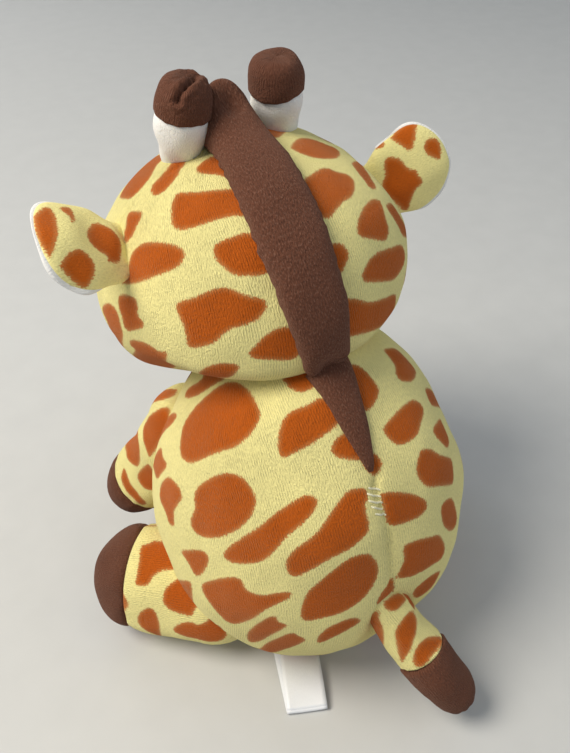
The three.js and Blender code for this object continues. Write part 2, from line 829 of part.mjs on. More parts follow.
const headGroup = new THREE.Group().add(
  piece('head_cover', headCover, yellowPlush),
  piece('head_stuffing', headStuffing, fibre),
  piece('muzzle_cover', muzzleCover, creamPlush),
  piece('muzzle_stuffing', muzzleStuffing, fibre),
  piece('mane_head', maneHead(), brownPlush),
);
for (const [side, place] of [['left', (solid) => solid], ['right', mirrored]]) {
  headGroup.add(
    piece(`eye_${side}`, place(eyeButton()), blackPlastic),
    piece(`eye_washer_${side}`, place(eyeWasher), clearPlastic),
    piece(`horn_stalk_${side}`, place(horn.stalk), whitePlush),
    piece(`horn_cap_${side}`, place(horn.cap), brownPlush),
    piece(`horn_stuffing_${side}`, place(horn.stuffing), fibre),
  );
}
for (const [side, parts] of [['left', earLeft], ['right', earRight]]) {
  headGroup.add(
    piece(`ear_back_${side}`, parts.back, yellowPlush),
    piece(`ear_lining_${side}`, parts.lining, whitePlush),
  );
}

const giraffe = new THREE.Group().add(
  bodyGroup,
  headGroup,
  limbGroup('arm_left', arm, 'hoof'),
  limbGroup('arm_right', mirroredParts(arm), 'hoof'),
  limbGroup('leg_left', leg, 'hoof'),
  limbGroup('leg_right', mirroredParts(leg), 'hoof'),
  limbGroup('tail', tail, 'tip'),
);

export default giraffe;
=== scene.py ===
"""A seated plush giraffe: its fabric, eyes, stitching and label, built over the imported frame."""

import math
from functools import lru_cache

import bpy
import numpy as np
from mathutils import Matrix
from mathutils.bvhtree import BVHTree


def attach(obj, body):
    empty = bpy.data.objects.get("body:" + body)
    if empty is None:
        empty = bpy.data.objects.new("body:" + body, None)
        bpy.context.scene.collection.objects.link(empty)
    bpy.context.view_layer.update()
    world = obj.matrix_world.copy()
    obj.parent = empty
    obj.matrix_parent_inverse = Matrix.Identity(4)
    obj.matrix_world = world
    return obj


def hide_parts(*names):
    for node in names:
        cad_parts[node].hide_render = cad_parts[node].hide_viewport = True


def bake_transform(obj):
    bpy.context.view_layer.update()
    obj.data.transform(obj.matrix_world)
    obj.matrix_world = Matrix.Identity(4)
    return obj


bl_info = {
    "name": "Plush giraffe",
    "version": (1, 0, 0),
    "blender": (4, 5, 0),
    "location": "3D View > Sidebar > Giraffe",
    "description": "Builds a seated plush giraffe piece by piece over its frame",
    "category": "Object",
}

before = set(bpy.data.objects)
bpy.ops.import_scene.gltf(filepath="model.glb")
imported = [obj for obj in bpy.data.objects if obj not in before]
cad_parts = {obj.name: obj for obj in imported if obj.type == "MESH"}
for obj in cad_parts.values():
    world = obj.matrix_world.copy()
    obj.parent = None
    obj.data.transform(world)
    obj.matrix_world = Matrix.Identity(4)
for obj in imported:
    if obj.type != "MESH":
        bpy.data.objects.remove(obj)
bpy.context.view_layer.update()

# Units and general shares

METRE = 0.001
FULL_TURN = 2 * math.pi
UPWARD = (0.0, 0.0, 1.0)
BACKWARD = (0.0, 1.0, 0.0)
SIDES = ((1, "left"), (-1, "right"))
TINY = 1e-6
NEARLY_ZERO = 1e-9
NEARLY_ONE = 1 - 1e-4

# Seeds of the unevenness and of the spots

SEED = 41
BODY_SEED, HEAD_SEED, MUZZLE_SEED = SEED, SEED + 2, SEED + 4
HORN_SEED, CREASE_SEED, EAR_SEED = SEED + 20, SEED + 30, SEED + 40
MANE_SEED, MANE_BACK_SEED, MANE_EDGE_SEED = SEED + 50, SEED + 51, SEED + 52
BODY_SPOT_SEED, HEAD_SPOT_SEED = SEED + 60, SEED + 61
LIMB_SEED, LIMB_SPOT_SEED = SEED + 70, SEED + 80

# The camera, in millimetres of the frame and pixels of the picture

CAMERA_PLACE = np.array([96.9, 158.8, 280.0])
CAMERA_FORWARD = np.array([-0.36448177, -0.6536218, -0.66327338])
CAMERA_RIGHT = np.array([-0.86402537, 0.50301443, -0.02089592])
CAMERA_DOWN = np.array([0.34729411, 0.56546885, -0.74808541])
PICTURE_FOCUS = 762.0
PICTURE_CENTRE = (285.0, 376.5)
PICTURE_LONG_SIDE = 753.0
SENSOR = 36.0
SIGHT_NEAR, SIGHT_FAR, SIGHT_STEP = 150.0, 420.0, 3.0
SIGHT_WRAP = 2.5

# Body, in millimetres

BODY_TOP = 134.0
BODY_WIDEST = 57.0
BODY_HALF_WIDTH = 57.0
BODY_HALF_DEPTH = 54.0
BODY_SEAT_RADIUS = 14.0
BODY_SINK = 0.5
BODY_POWER_ABOVE, BODY_POWER_BELOW = 1.6, 1.9
BODY_LEAN = 8.0
CLEFT_DEPTH, CLEFT_WIDTH, CLEFT_HEIGHT, CLEFT_REACH = 6.0, 7.5, 42.5, 15.0

# Head

HEAD_CENTRE = np.array([0.0, -34.9, 138.1])
HEAD_HALVES = np.array([51.6, 49.2, 43.8])
HEAD_TILT = -4.6
HEAD_TUCK, HEAD_TUCK_FULL = 0.61, 0.5
MUZZLE_CENTRE = np.array([0.0, -82.1, 120.1])
MUZZLE_HALVES = np.array([26.0, 21.0, 19.0])
NECK_PIVOT = np.array([0.0, -17.0, 111.0])

# Limbs: pivot, direction, length, bow, radii, and the share of the length where the end piece starts

ARM = ((31.369, -34.801, 81.0), (0.437, -0.393, -0.809), 62.0, (-8.0, 0.0, -8.0), 14.0, 16.0, 0.72)
LEG = ((39.922, -3.969, 21.5), (0.743, -0.669, -0.041), 49.0, (0.0, 0.0, 0.0), 22.0, 20.0, 0.62)
TAIL = ((0.0, 47.441, 50.0), (-0.314, 0.591, -0.743), 54.0, (0.0, 0.0, 0.0), 7.75, 9.5, 0.485)
LIMB_END_POWERS = {"arm": 5, "leg": 5, "tail": 8}

# Horns, ears, eyes

HORN_AROUND, HORN_UP = 49.0, 64.0
HORN_LEAN = (-0.11, 0.19, 1.0)
HORN_SINK, HORN_LENGTH, HORN_RADIUS = 6.0, 24.5, 8.0
HORN_SEAMS = {1: 0.55, -1: 0.58}
STALK_FOOT_SHARE = 0.6
EAR_AROUND, EAR_SWEEP = 89.0, 12.0
EAR_UPS = {1: 30.0, -1: 20.0}
EAR_LIFTS = {1: 32.0, -1: 20.0}
EAR_TURNS = {1: 62.0, -1: 19.0}
EAR_LENGTH, EAR_HALF_WIDTH, EAR_HALF_ROOT = 27.5, 15.5, 9.5
EAR_ROOT_DEPTH, EAR_BACK_DEPTH, EAR_LINING_DEPTH = 3.0, 3.4, 2.2
EAR_CUP, EAR_FULL, EAR_THICK, EAR_POWER = 3.5, 0.8, 0.33, 4.4
EAR_RIM, EAR_RIM_LOW = 0.6, 0.7
EYE_AROUND, EYE_UP = 26.0, 7.0
EYE_RADIUS, EYE_DOME, EYE_RIM, EYE_CLEAR = 5.5, 4.2, 1.0, 9.5

# Mane and label

MANE_START, MANE_END = 107.0, -20.0
MANE_DRIFT, MANE_BUMP_DRIFT = 5.0, 1.8
MANE_TOP_WIDTH, MANE_NECK_WIDTH, MANE_FULL_WIDTH, MANE_TIP_WIDTH = 17.0, 13.5, 20.5, 2.0
MANE_HEIGHT, MANE_BUMP, MANE_BUMP_SHARE = 6.0, 13.5, 0.08
MANE_NECK_SHARE = 0.5
MANE_BACK_HEIGHTS = (128.0, 104.0)
MANE_BACK_BEND = (0.8, 0.22)
MANE_BACK_DRIFT, MANE_BACK_TIP = 0.8, 1.5
MANE_CREASE_ANGLE = 29.0
LABEL_ROOT, LABEL_HEADING = (15.6, 14.6), 67.0
LABEL_WIDTH, LABEL_LENGTH, LABEL_LIFT = 15.0, 38.0, 0.5

# Spots on the near side, each as the corners of its outline in the picture's pixels

HEAD_SPOTS = (
    ((168, 153), (155, 157), (143, 167), (131, 179), (122, 192), (120, 198), (129, 199), (137, 193),
     (145, 184), (151, 176), (157, 165), (163, 159)),
    ((190, 152), (188, 158), (181, 169), (176, 178), (167, 189), (160, 194), (155, 196), (151, 192),
     (152, 186), (158, 179), (166, 170), (173, 162), (182, 156)),
    ((216, 156), (207, 159), (200, 164), (196, 169), (199, 173), (206, 174), (217, 175), (226, 177),
     (234, 174), (228, 160)),
    ((130, 212), (141, 212), (141, 218), (136, 228), (131, 238), (125, 243), (124, 236), (126, 225),
     (127, 217)),
    ((144, 243), (157, 242), (171, 244), (181, 248), (185, 255), (182, 262), (176, 268), (162, 274),
     (146, 280), (132, 284), (121, 283), (122, 277), (128, 268), (131, 256), (136, 248)),
    ((178, 193), (195, 192), (217, 190), (232, 189), (250, 192), (256, 206), (248, 216), (234, 216),
     (217, 220), (204, 224), (193, 228), (180, 230), (173, 226), (171, 215), (172, 204), (175, 197)),
    ((244, 233), (229, 238), (217, 243), (213, 251), (216, 259), (223, 267), (231, 273), (240, 276),
     (251, 276), (263, 275), (274, 268), (268, 248), (256, 235)),
    ((176, 305), (182, 301), (195, 297), (206, 292), (218, 288), (229, 288), (238, 292), (249, 296),
     (263, 299), (267, 306), (265, 311), (257, 320), (243, 326), (232, 329), (223, 335), (216, 342),
     (209, 345), (195, 348), (188, 346), (186, 337), (183, 325), (178, 314)),
    ((119, 296), (129, 295), (136, 300), (138, 308), (138, 315), (144, 324), (140, 329), (128, 331),
     (124, 326), (122, 317), (119, 308)),
    ((103, 306), (108, 303), (114, 307), (118, 314), (121, 326), (123, 337), (124, 349), (120, 346),
     (113, 333), (107, 321), (103, 312)),
    ((130, 341), (136, 340), (148, 344), (158, 351), (167, 357), (175, 366), (172, 372), (163, 371),
     (152, 369), (139, 364), (132, 358), (135, 350), (131, 346)),
    ((199, 373), (205, 368), (212, 365), (224, 363), (237, 365), (238, 370), (224, 378), (205, 380)),
    ((248, 353), (254, 347), (262, 338), (272, 331), (283, 327), (297, 330), (300, 352), (291, 360),
     (274, 360), (257, 359), (251, 357)),
    ((262, 127), (270, 128), (278, 129), (286, 131), (282, 135), (277, 138), (268, 136)),
    ((291, 147), (296, 140), (305, 138), (315, 140), (325, 144), (335, 148), (340, 153), (337, 158),
     (327, 159), (315, 158), (302, 154), (294, 150)),
    ((303, 181), (312, 174), (320, 169), (327, 168), (335, 171), (346, 174), (353, 179), (355, 187),
     (352, 196), (345, 201), (337, 209), (331, 217), (324, 218), (312, 210), (302, 192)),
    ((352, 163), (359, 162), (365, 169), (371, 178), (376, 188), (370, 188), (364, 180), (356, 170)),
    ((371, 200), (379, 200), (383, 208), (386, 219), (389, 230), (386, 240), (381, 241), (371, 239),
     (361, 237), (357, 229), (359, 218), (364, 207)),
    ((401, 245), (405, 254), (404, 264), (400, 272), (393, 280), (381, 282), (366, 282), (362, 277),
     (364, 270), (370, 259), (379, 252), (390, 248)),
    ((325, 246), (331, 244), (339, 243), (345, 247), (349, 255), (346, 264), (341, 274), (336, 283),
     (328, 275)),
    ((330, 302), (344, 299), (356, 299), (369, 302), (382, 299), (394, 294), (396, 298), (395, 306),
     (392, 314), (386, 322), (377, 329), (362, 334), (349, 337), (340, 339), (330, 332)),
    ((383, 338), (380, 345), (372, 353), (362, 360), (359, 358), (366, 349), (377, 340)),
    ((386, 206), (392, 216), (398, 226), (403, 236), (409, 236), (400, 216), (392, 204)),
)
BODY_SPOTS = (
    ((234, 382), (242, 385), (249, 391), (256, 402), (260, 412), (259, 421), (254, 430), (245, 440),
     (233, 448), (217, 453), (201, 460), (191, 463), (183, 459), (180, 451), (181, 437), (184, 424),
     (192, 411), (203, 399), (216, 388), (226, 383)),
    ((236, 368), (228, 377), (217, 383), (206, 390), (198, 395), (190, 398), (185, 397), (187, 390),
     (193, 385), (200, 381), (204, 375), (215, 366)),
    ((158, 418), (167, 415), (175, 413), (176, 418), (169, 427), (162, 435), (156, 444), (150, 455),
     (146, 455), (150, 435)),
    ((161, 448), (163, 457), (167, 465), (162, 473), (157, 479), (154, 470), (151, 463), (156, 454)),
    ((169, 477), (175, 482), (180, 489), (182, 498), (177, 506), (174, 513), (174, 526), (169, 523),
     (165, 511), (160, 499), (160, 489), (163, 481)),
    ((226, 473), (235, 474), (243, 478), (250, 486), (255, 495), (256, 503), (253, 513), (247, 522),
     (237, 530), (222, 537), (211, 538), (200, 536), (192, 528), (191, 519), (195, 508), (194, 497),
     (198, 487), (207, 480), (217, 475)),
    ((223, 555), (230, 546), (243, 537), (260, 526), (273, 515), (286, 506), (297, 499), (305, 495),
     (312, 496), (318, 501), (316, 508), (310, 517), (299, 527), (287, 537), (276, 550), (266, 559),
     (256, 563), (241, 564), (230, 562)),
    ((320, 398), (307, 405), (290, 412), (282, 422), (279, 433), (278, 449), (283, 458), (295, 453),
     (310, 445), (324, 436), (336, 426), (340, 416), (332, 402)),
    ((270, 366), (279, 374), (285, 383), (293, 390), (303, 392), (311, 389), (318, 382), (306, 364),
     (285, 360)),
    ((344, 366), (352, 364), (361, 367), (369, 375), (377, 385), (379, 392), (375, 403), (367, 411),
     (359, 405), (352, 385)),
    ((384, 350), (393, 348), (401, 353), (411, 364), (416, 372), (412, 381), (402, 381), (396, 375),
     (395, 366), (389, 357)),
    ((413, 400), (421, 404), (424, 412), (421, 423), (417, 435), (407, 443), (398, 445), (390, 440),
     (383, 431), (386, 424), (395, 414), (405, 404)),
    ((342, 434), (334, 442), (331, 450), (337, 457), (350, 460), (361, 461), (366, 470), (374, 476),
     (379, 472), (382, 463), (378, 456), (366, 448), (354, 436)),
    ((426, 388), (434, 394), (440, 408), (433, 406), (428, 398)),
    ((440, 419), (435, 425), (433, 431), (437, 438), (447, 448), (449, 440), (444, 427)),
    ((421, 450), (430, 449), (441, 455), (451, 459), (453, 468), (453, 483), (440, 486), (428, 487),
     (420, 480), (416, 470), (418, 459)),
    ((381, 493), (400, 492), (416, 495), (426, 501), (427, 508), (419, 517), (405, 523), (394, 526),
     (387, 523), (384, 513), (382, 502)),
    ((451, 498), (455, 506), (457, 517), (455, 527), (450, 531), (444, 526), (441, 514), (443, 503)),
    ((360, 488), (367, 490), (368, 498), (365, 507), (368, 518), (369, 530), (361, 540), (350, 549),
     (330, 559), (313, 569), (299, 576), (290, 575), (286, 568), (287, 559), (295, 549), (307, 541),
     (318, 531), (328, 517), (338, 502), (348, 491)),
    ((437, 535), (442, 539), (445, 549), (441, 559), (431, 566), (419, 573), (410, 577), (397, 577),
     (401, 568), (404, 558), (403, 548), (409, 543), (421, 539)),
    ((364, 554), (371, 555), (377, 563), (378, 574), (371, 589), (358, 603), (341, 613), (319, 619),
     (307, 621), (301, 617), (302, 605), (308, 592), (320, 581), (336, 568), (350, 558)),
    ((440, 571), (434, 584), (424, 594), (417, 598), (413, 595), (416, 588), (429, 577)),
    ((357, 618), (360, 622), (349, 629), (336, 636), (319, 643), (318, 637), (326, 629), (338, 623),
     (348, 619)),
    ((392, 577), (394, 588), (390, 596), (382, 604), (377, 604), (379, 597), (386, 587)),
)
SIDE_SPOTS = (
    ((202, 584), (210, 581), (222, 578), (235, 577), (242, 581), (246, 589), (253, 593), (263, 595),
     (277, 593), (290, 592), (291, 597), (278, 604), (264, 611), (250, 620), (236, 624), (226, 621),
     (217, 612), (209, 602), (203, 592)),
    ((275, 616), (279, 622), (287, 625), (281, 630), (271, 635), (260, 641), (250, 642), (247, 637),
     (249, 631), (257, 624), (267, 618)),
    ((290, 633), (299, 636), (305, 640), (297, 645), (283, 650), (264, 655), (254, 653), (262, 647),
     (273, 640)),
    ((181, 551), (190, 550), (200, 550), (206, 553), (209, 560), (205, 570), (199, 576), (194, 574),
     (189, 564)),
    ((173, 630), (179, 624), (190, 622), (205, 623), (220, 626), (227, 633), (222, 640), (212, 642),
     (197, 639), (181, 635)),
    ((163, 597), (166, 588), (173, 582), (181, 580), (189, 581), (192, 588), (193, 600), (195, 610),
     (191, 616), (181, 614), (170, 610), (164, 604)),
)
LEG_SPOTS = (
    ((141, 547), (150, 543), (160, 541), (173, 538), (177, 545), (182, 556), (178, 564), (170, 570),
     (160, 572), (153, 577), (149, 584), (142, 586), (135, 584), (137, 575), (139, 562)),
    ((147, 608), (154, 610), (158, 618), (160, 629), (162, 637), (154, 634), (145, 630), (138, 622),
     (139, 614)),
    ((120, 576), (123, 585), (126, 598), (127, 608), (125, 617), (119, 610), (117, 600), (117, 587)),
    ((147, 525), (154, 521), (164, 521), (171, 525), (160, 527)),
    ((173, 641), (185, 642), (200, 645), (205, 650), (180, 650)),
)
ARM_SPOTS = (
    ((160, 391), (169, 389), (177, 390), (172, 397), (160, 401), (150, 407), (144, 413), (141, 418),
     (141, 411), (147, 402), (153, 395)),
    ((164, 407), (156, 411), (148, 418), (144, 426), (143, 437), (146, 449), (150, 457), (158, 446),
     (168, 425), (170, 410)),
    ((135, 429), (138, 432), (139, 443), (140, 455), (138, 466), (132, 464), (127, 458), (126, 451),
     (129, 440)),
    ((124, 468), (127, 474), (131, 484), (138, 493), (146, 502), (143, 505), (137, 502), (130, 495),
     (124, 487), (121, 477)),
    ((148, 464), (153, 470), (160, 480), (158, 489), (150, 490), (144, 488), (138, 479), (139, 472)),
    ((138, 407), (131, 413), (125, 425), (119, 448), (122, 440), (129, 428), (136, 416)),
    ((155, 497), (162, 496), (165, 504), (156, 503)),
)
TAIL_SPOTS = (
    ((389, 598), (393, 595), (398, 593), (403, 595), (406, 599), (402, 605), (397, 610), (391, 611),
     (385, 608), (384, 602)),
    ((411, 611), (415, 614), (417, 623), (416, 633), (413, 642), (410, 651), (405, 658), (402, 662),
     (399, 656), (397, 646), (395, 633), (400, 623), (405, 616)),
    ((366, 619), (373, 613), (379, 611), (380, 621), (383, 628), (384, 639), (382, 648), (376, 643),
     (370, 636), (368, 629)),
    ((438, 636), (442, 640), (440, 648), (432, 656), (426, 664), (417, 667), (413, 662), (414, 654),
     (417, 647), (422, 641), (429, 637)),
)
EAR_SPOTS = {
    1: (
        ((40, 210), (45, 207), (51, 209), (55, 215), (57, 222), (58, 232), (56, 243), (52, 254),
         (49, 257), (45, 251), (40, 244), (36, 234), (33, 224), (34, 217)),
        ((79, 249), (85, 252), (92, 259), (95, 268), (93, 278), (87, 287), (82, 288), (73, 282),
         (65, 273), (60, 267), (64, 259), (70, 252)),
        ((94, 223), (101, 224), (110, 228), (117, 235), (121, 243), (121, 254), (119, 262), (109, 262),
         (107, 256), (99, 251), (91, 244), (87, 235), (89, 228)),
        ((60, 208), (68, 207), (73, 212), (75, 220), (72, 223), (69, 216), (62, 211)),
    ),
    -1: (
        ((391, 138), (397, 129), (406, 122), (415, 119), (417, 126), (415, 139), (412, 149), (407, 150),
         (400, 145)),
        ((386, 158), (392, 157), (400, 159), (405, 165), (410, 169), (416, 170), (419, 176), (423, 182),
         (415, 191), (411, 201), (408, 209), (403, 210), (396, 203), (386, 194), (382, 185), (385, 175),
         (384, 166)),
        ((424, 148), (426, 141), (431, 138), (438, 140), (441, 149), (440, 159), (432, 157), (426, 153)),
        ((377, 146), (384, 142), (383, 147), (377, 149)),
    ),
}
BACK_SEAM = ((376, 470), (374, 490), (381, 510), (388, 532), (391, 556), (393, 580), (392, 596))
CAP_CREASE = ((204, 73), (194, 79), (186, 86), (180, 94), (177, 102))

# Spots on the far side: their radii, shape and number of tries, and the plain channel between them

SPOT_RADII = (11.5, 9.0, 7.0, 5.2, 3.8)
SPOT_TRIES = 900
SPOT_HIDDEN_SHARE = 0.85
SPOT_CORNERS = 9
SPOT_UNEVEN = 0.2
SPOT_STRETCH = (1.0, 1.5)
SPOT_CHANNEL = 2.8
SPOT_REACH = 16.0
SPOT_NOWHERE = -99.0
SPOT_STEEP = 0.9
CURVE_STEPS = 5


# What a user would change


class GiraffeSizes(bpy.types.PropertyGroup):
    """Sizes of the fabric's detail"""

    wale: bpy.props.FloatProperty(
        name="Wale", description="Width of one line of the knit", default=0.00082, unit="LENGTH"
    )
    course: bpy.props.FloatProperty(
        name="Course", description="Length of one loop of the knit", default=0.0006, unit="LENGTH"
    )
    spot_edge: bpy.props.FloatProperty(
        name="Spot edge", description="Half the width of a spot's soft edge", default=0.00035, unit="LENGTH"
    )
    lump: bpy.props.FloatProperty(
        name="Lump", description="Height of the unevenness of the stuffing", default=0.0007, unit="LENGTH"
    )
    seam: bpy.props.FloatProperty(
        name="Seam depth", description="Depth of the groove at a seam", default=0.0013, unit="LENGTH"
    )
    thread: bpy.props.FloatProperty(
        name="Thread", description="Thickness of the sewing thread", default=0.0007, unit="LENGTH"
    )


def colour_property(name, description, value):
    return bpy.props.FloatVectorProperty(
        name=name, description=description, default=value, subtype="COLOR", size=3, min=0, max=1
    )


class GiraffeColours(bpy.types.PropertyGroup):
    """Colours of the fabrics, the eyes, the label and the floor"""

    ground: colour_property("Ground", "Pale yellow ground of the plush", (0.88, 0.775, 0.325))
    spot: colour_property("Spots", "Orange brown of the spots", (0.48, 0.096, 0.006))
    brown: colour_property(
        "Brown", "Dark brown of the mane, caps, hooves and tail tip", (0.125, 0.047, 0.027)
    )
    cream: colour_property("Cream", "Cream of the muzzle", (0.80, 0.74, 0.60))
    white: colour_property("White", "White of the ears' lining and the horns' stalks", (0.84, 0.82, 0.79))
    label: colour_property("Label", "White of the satin label", (0.84, 0.85, 0.88))
    eye: colour_property("Eyes", "Black of the eyes", (0.008, 0.006, 0.005))
    thread: colour_property("Thread", "Dark brown of the face's stitches", (0.05, 0.022, 0.015))
    floor: colour_property("Floor", "Pale floor", (0.58, 0.575, 0.56))


def millimetres(name):
    """One of the user's sizes, in millimetres."""
    return getattr(bpy.context.scene.giraffe_sizes, name) / METRE


def colours():
    return bpy.context.scene.giraffe_colours


# Arithmetic on points


def mix(low, high, share):
    return low + (high - low) * share


def ease(share):
    share = np.clip(share, 0, 1)
    return share * share * (3 - 2 * share)


def unit(vectors):
    vectors = np.asarray(vectors, float)
    return vectors / np.maximum(np.linalg.norm(vectors, axis=-1, keepdims=True), NEARLY_ZERO)


def gap_to(points, place):
    return np.linalg.norm(points - place, axis=-1)


def lengths_along(path):
    """The distance run from the path's start to each of its points."""
    return np.concatenate([[0], np.cumsum(np.linalg.norm(np.diff(path, axis=0), axis=-1))])


def across_of(out):
    """The level and the upward direction that lie across an outward one."""
    east = unit(np.cross(UPWARD, out))
    return east, np.cross(out, east)


def rings(centres, first, second, radius, angle):
    """Rings of points about the centres, each turning from its first direction to its second."""
    rim = np.cos(angle)[:, None] * first[..., None, :] + np.sin(angle)[:, None] * second[..., None, :]
    return centres[:, None] + rim * np.reshape(radius, (-1, 1, 1))


def turned_about_x(points, degrees):
    cosine, sine = math.cos(math.radians(degrees)), math.sin(math.radians(degrees))
    x, y, z = points[..., 0], points[..., 1], points[..., 2]
    return np.stack([x, y * cosine - z * sine, y * sine + z * cosine], -1)


def direction_of(around, up):
    """A unit direction from its angle from the front toward the toy's left, and its angle up."""
    turn, rise = np.radians(around), np.radians(up)
    return np.stack([np.sin(turn) * np.cos(rise), -np.cos(turn) * np.cos(rise), np.sin(rise)], -1)


WAVE_COUNT = 16
WAVE_LENGTHS = (0.75, 1.4)


def waves(points, length, seed):
    """Soft seeded unevenness between about -1 and 1, with swells about as long as asked."""
    chance = np.random.default_rng(seed)
    headings = unit(chance.normal(size=(WAVE_COUNT, 3)))
    starts = chance.uniform(0, FULL_TURN, WAVE_COUNT)
    lengths = length * chance.uniform(*WAVE_LENGTHS, WAVE_COUNT)
    return np.sin(points @ headings.T * (FULL_TURN / lengths) + starts).sum(-1) / math.sqrt(WAVE_COUNT)


def lumps(points, lengths, short_share, seed):
    """Unevenness of the stuffing: long swells, and a share of short ones."""
    lump = millimetres("lump")
    return waves(points, lengths[0], seed) * lump + waves(points, lengths[1], seed + 1) * lump * short_share


def bell(distance, width):
    return np.exp(-((distance / width) ** 2))


# Fabric surfaces


class Surface:
    """Rings of points in millimetres, closed round and at both ends, with the knit's own measures."""

    def __init__(self, points, across, along):
        self.points = np.asarray(points, float)
        self.across = across
        self.along = along
        self.orient()

    def orient(self):
        rows, columns = self.points.shape[:2]
        row, column = np.meshgrid(np.arange(rows - 1), np.arange(columns), indexing="ij")
        beside = (column + 1) % columns
        quads = np.stack(
            [row * columns + column, row * columns + beside,
             (row + 1) * columns + beside, (row + 1) * columns + column], -1,
        ).reshape(-1, 4)
        ring = np.arange(columns)
        turn = (ring + 1) % columns
        last = (rows - 1) * columns
        caps = [
            np.stack([turn, ring, np.full(columns, rows * columns)], -1),
            np.stack([last + ring, last + turn, np.full(columns, rows * columns + 1)], -1),
        ]
        self.quads, self.caps = quads, np.vstack(caps)
        corners = self.vertices()[quads]
        volume = np.einsum("ij,ij->i", corners[:, 0], np.cross(corners[:, 1], corners[:, 2])).sum()
        volume += np.einsum("ij,ij->i", corners[:, 0], np.cross(corners[:, 2], corners[:, 3])).sum()
        self.inward = volume < 0

    def vertices(self):
        ends = np.stack([self.points[0].mean(0), self.points[-1].mean(0)])
        return np.vstack([self.points.reshape(-1, 3), ends])

    def faces(self):
        faces = self.quads.tolist() + self.caps.tolist()
        return [face[::-1] for face in faces] if self.inward else faces

    def corner_values(self, values):
        """A measure at each face's corners, so that it doesn't jump where the rings close."""
        rows, columns = self.points.shape[:2]
        row, column = np.meshgrid(np.arange(rows - 1), np.arange(columns), indexing="ij")
        quads = np.stack(
            [values[row, column], values[row, column + 1],
             values[row + 1, column + 1], values[row + 1, column]], -1,
        ).reshape(-1, 4)
        ring = np.arange(columns)
        caps = []
        for edge, order in ((0, (1, 0)), (rows - 1, (0, 1))):
            pair = [values[edge, ring + step] for step in order]
            caps.append(np.stack([*pair, (pair[0] + pair[1]) / 2], -1))
        caps = np.vstack(caps)
        if self.inward:
            quads, caps = quads[:, ::-1], caps[:, ::-1]
        return np.concatenate([quads.ravel(), caps.ravel()])

    def normals(self):
        """Outward directions at the grid's points and the two ends."""
        points = self.points
        sideways = np.roll(points, -1, 1) - np.roll(points, 1, 1)
        lengthwise = np.gradient(points, axis=0)
        out = unit(np.cross(sideways, lengthwise))
        if self.inward:
            out = -out
        out = out.reshape(-1, 3)
        columns = points.shape[1]
        ends = unit(np.stack([out[:columns].mean(0), out[-columns:].mean(0)]))
        return np.vstack([out, ends])

    def swell(self, amount):
        """Moves every grid point outward by its amount."""
        rows, columns = self.points.shape[:2]
        out = self.normals()[: rows * columns].reshape(rows, columns, 3)
        self.points = self.points + out * amount[..., None]
        return self

    def relax(self, held, amount):
        """Blows a coarse copy of the cloth up with its held points kept in place, and takes over how
        it swells and puckers, by no more than the amount in millimetres."""
        rows, columns = self.points.shape[:2]
        step = max(1, columns // CLOTH_COLUMNS)
        picked_rows = np.linspace(0, rows - 1, min(rows, CLOTH_ROWS)).round().astype(int)
        picked_columns = np.arange(0, columns, step)
        grid = np.ix_(picked_rows, picked_columns)
        moved = blown_up(Surface(self.points[grid], None, None), held[grid])
        moved = soften(moved[:-2].reshape(*held[grid].shape, 3), CLOTH_SOFTEN)
        size = np.linalg.norm(moved, axis=-1, keepdims=True)
        moved = moved * amount / np.maximum(size, max(np.percentile(size, CLOTH_PERCENTILE), TINY))
        moved = filled_in(moved, picked_rows, rows)
        closed = np.concatenate([moved, moved[:, :1]], 1).transpose(1, 0, 2)
        moved = filled_in(closed, np.append(picked_columns, columns), columns).transpose(1, 0, 2)
        self.points = self.points + soften(moved, step)
        return self

    def tree(self):
        return BVHTree.FromPolygons(self.vertices().tolist(), self.faces())

    def mirrored(self):
        return Surface(self.points * np.array([-1, 1, 1]), self.across, self.along)


def wrapped(points, across, along):
    """A surface from rings whose last point repeats the first. Along may have one value for each ring."""
    shape = points.shape[:2]
    if np.ndim(along) == 1:
        along = along[:, None]
    return Surface(points[:, :-1], np.broadcast_to(across, shape), np.broadcast_to(along, shape))


# The cloth that the stuffing blows up

CLOTH_ROWS, CLOTH_COLUMNS = 42, 64
CLOTH_FRAMES = 14
CLOTH_PRESSURE = 4.0
CLOTH_MASS = 0.15
CLOTH_STRETCH, CLOTH_BEND = 12.0, 0.3
CLOTH_PERCENTILE = 97
CLOTH_SOFTEN = 2
CLOTH_QUALITY = 5


def soften(field, passes):
    """Evens a field out over the grid, which is closed round and open at its ends."""
    for _ in range(passes):
        field = (np.roll(field, 1, 1) + 2 * field + np.roll(field, -1, 1)) / 4
        inner = (field[:-2] + 2 * field[1:-1] + field[2:]) / 4
        field = np.concatenate([field[:1], inner, field[-1:]])
    return field


def filled_in(values, picks, count):
    """Values known at the picked rows, filled in evenly for every row."""
    at = np.interp(np.arange(count), picks, np.arange(len(picks)))
    low = np.minimum(at.astype(int), len(picks) - 2)
    return mix(values[low], values[low + 1], (at - low)[:, None, None])


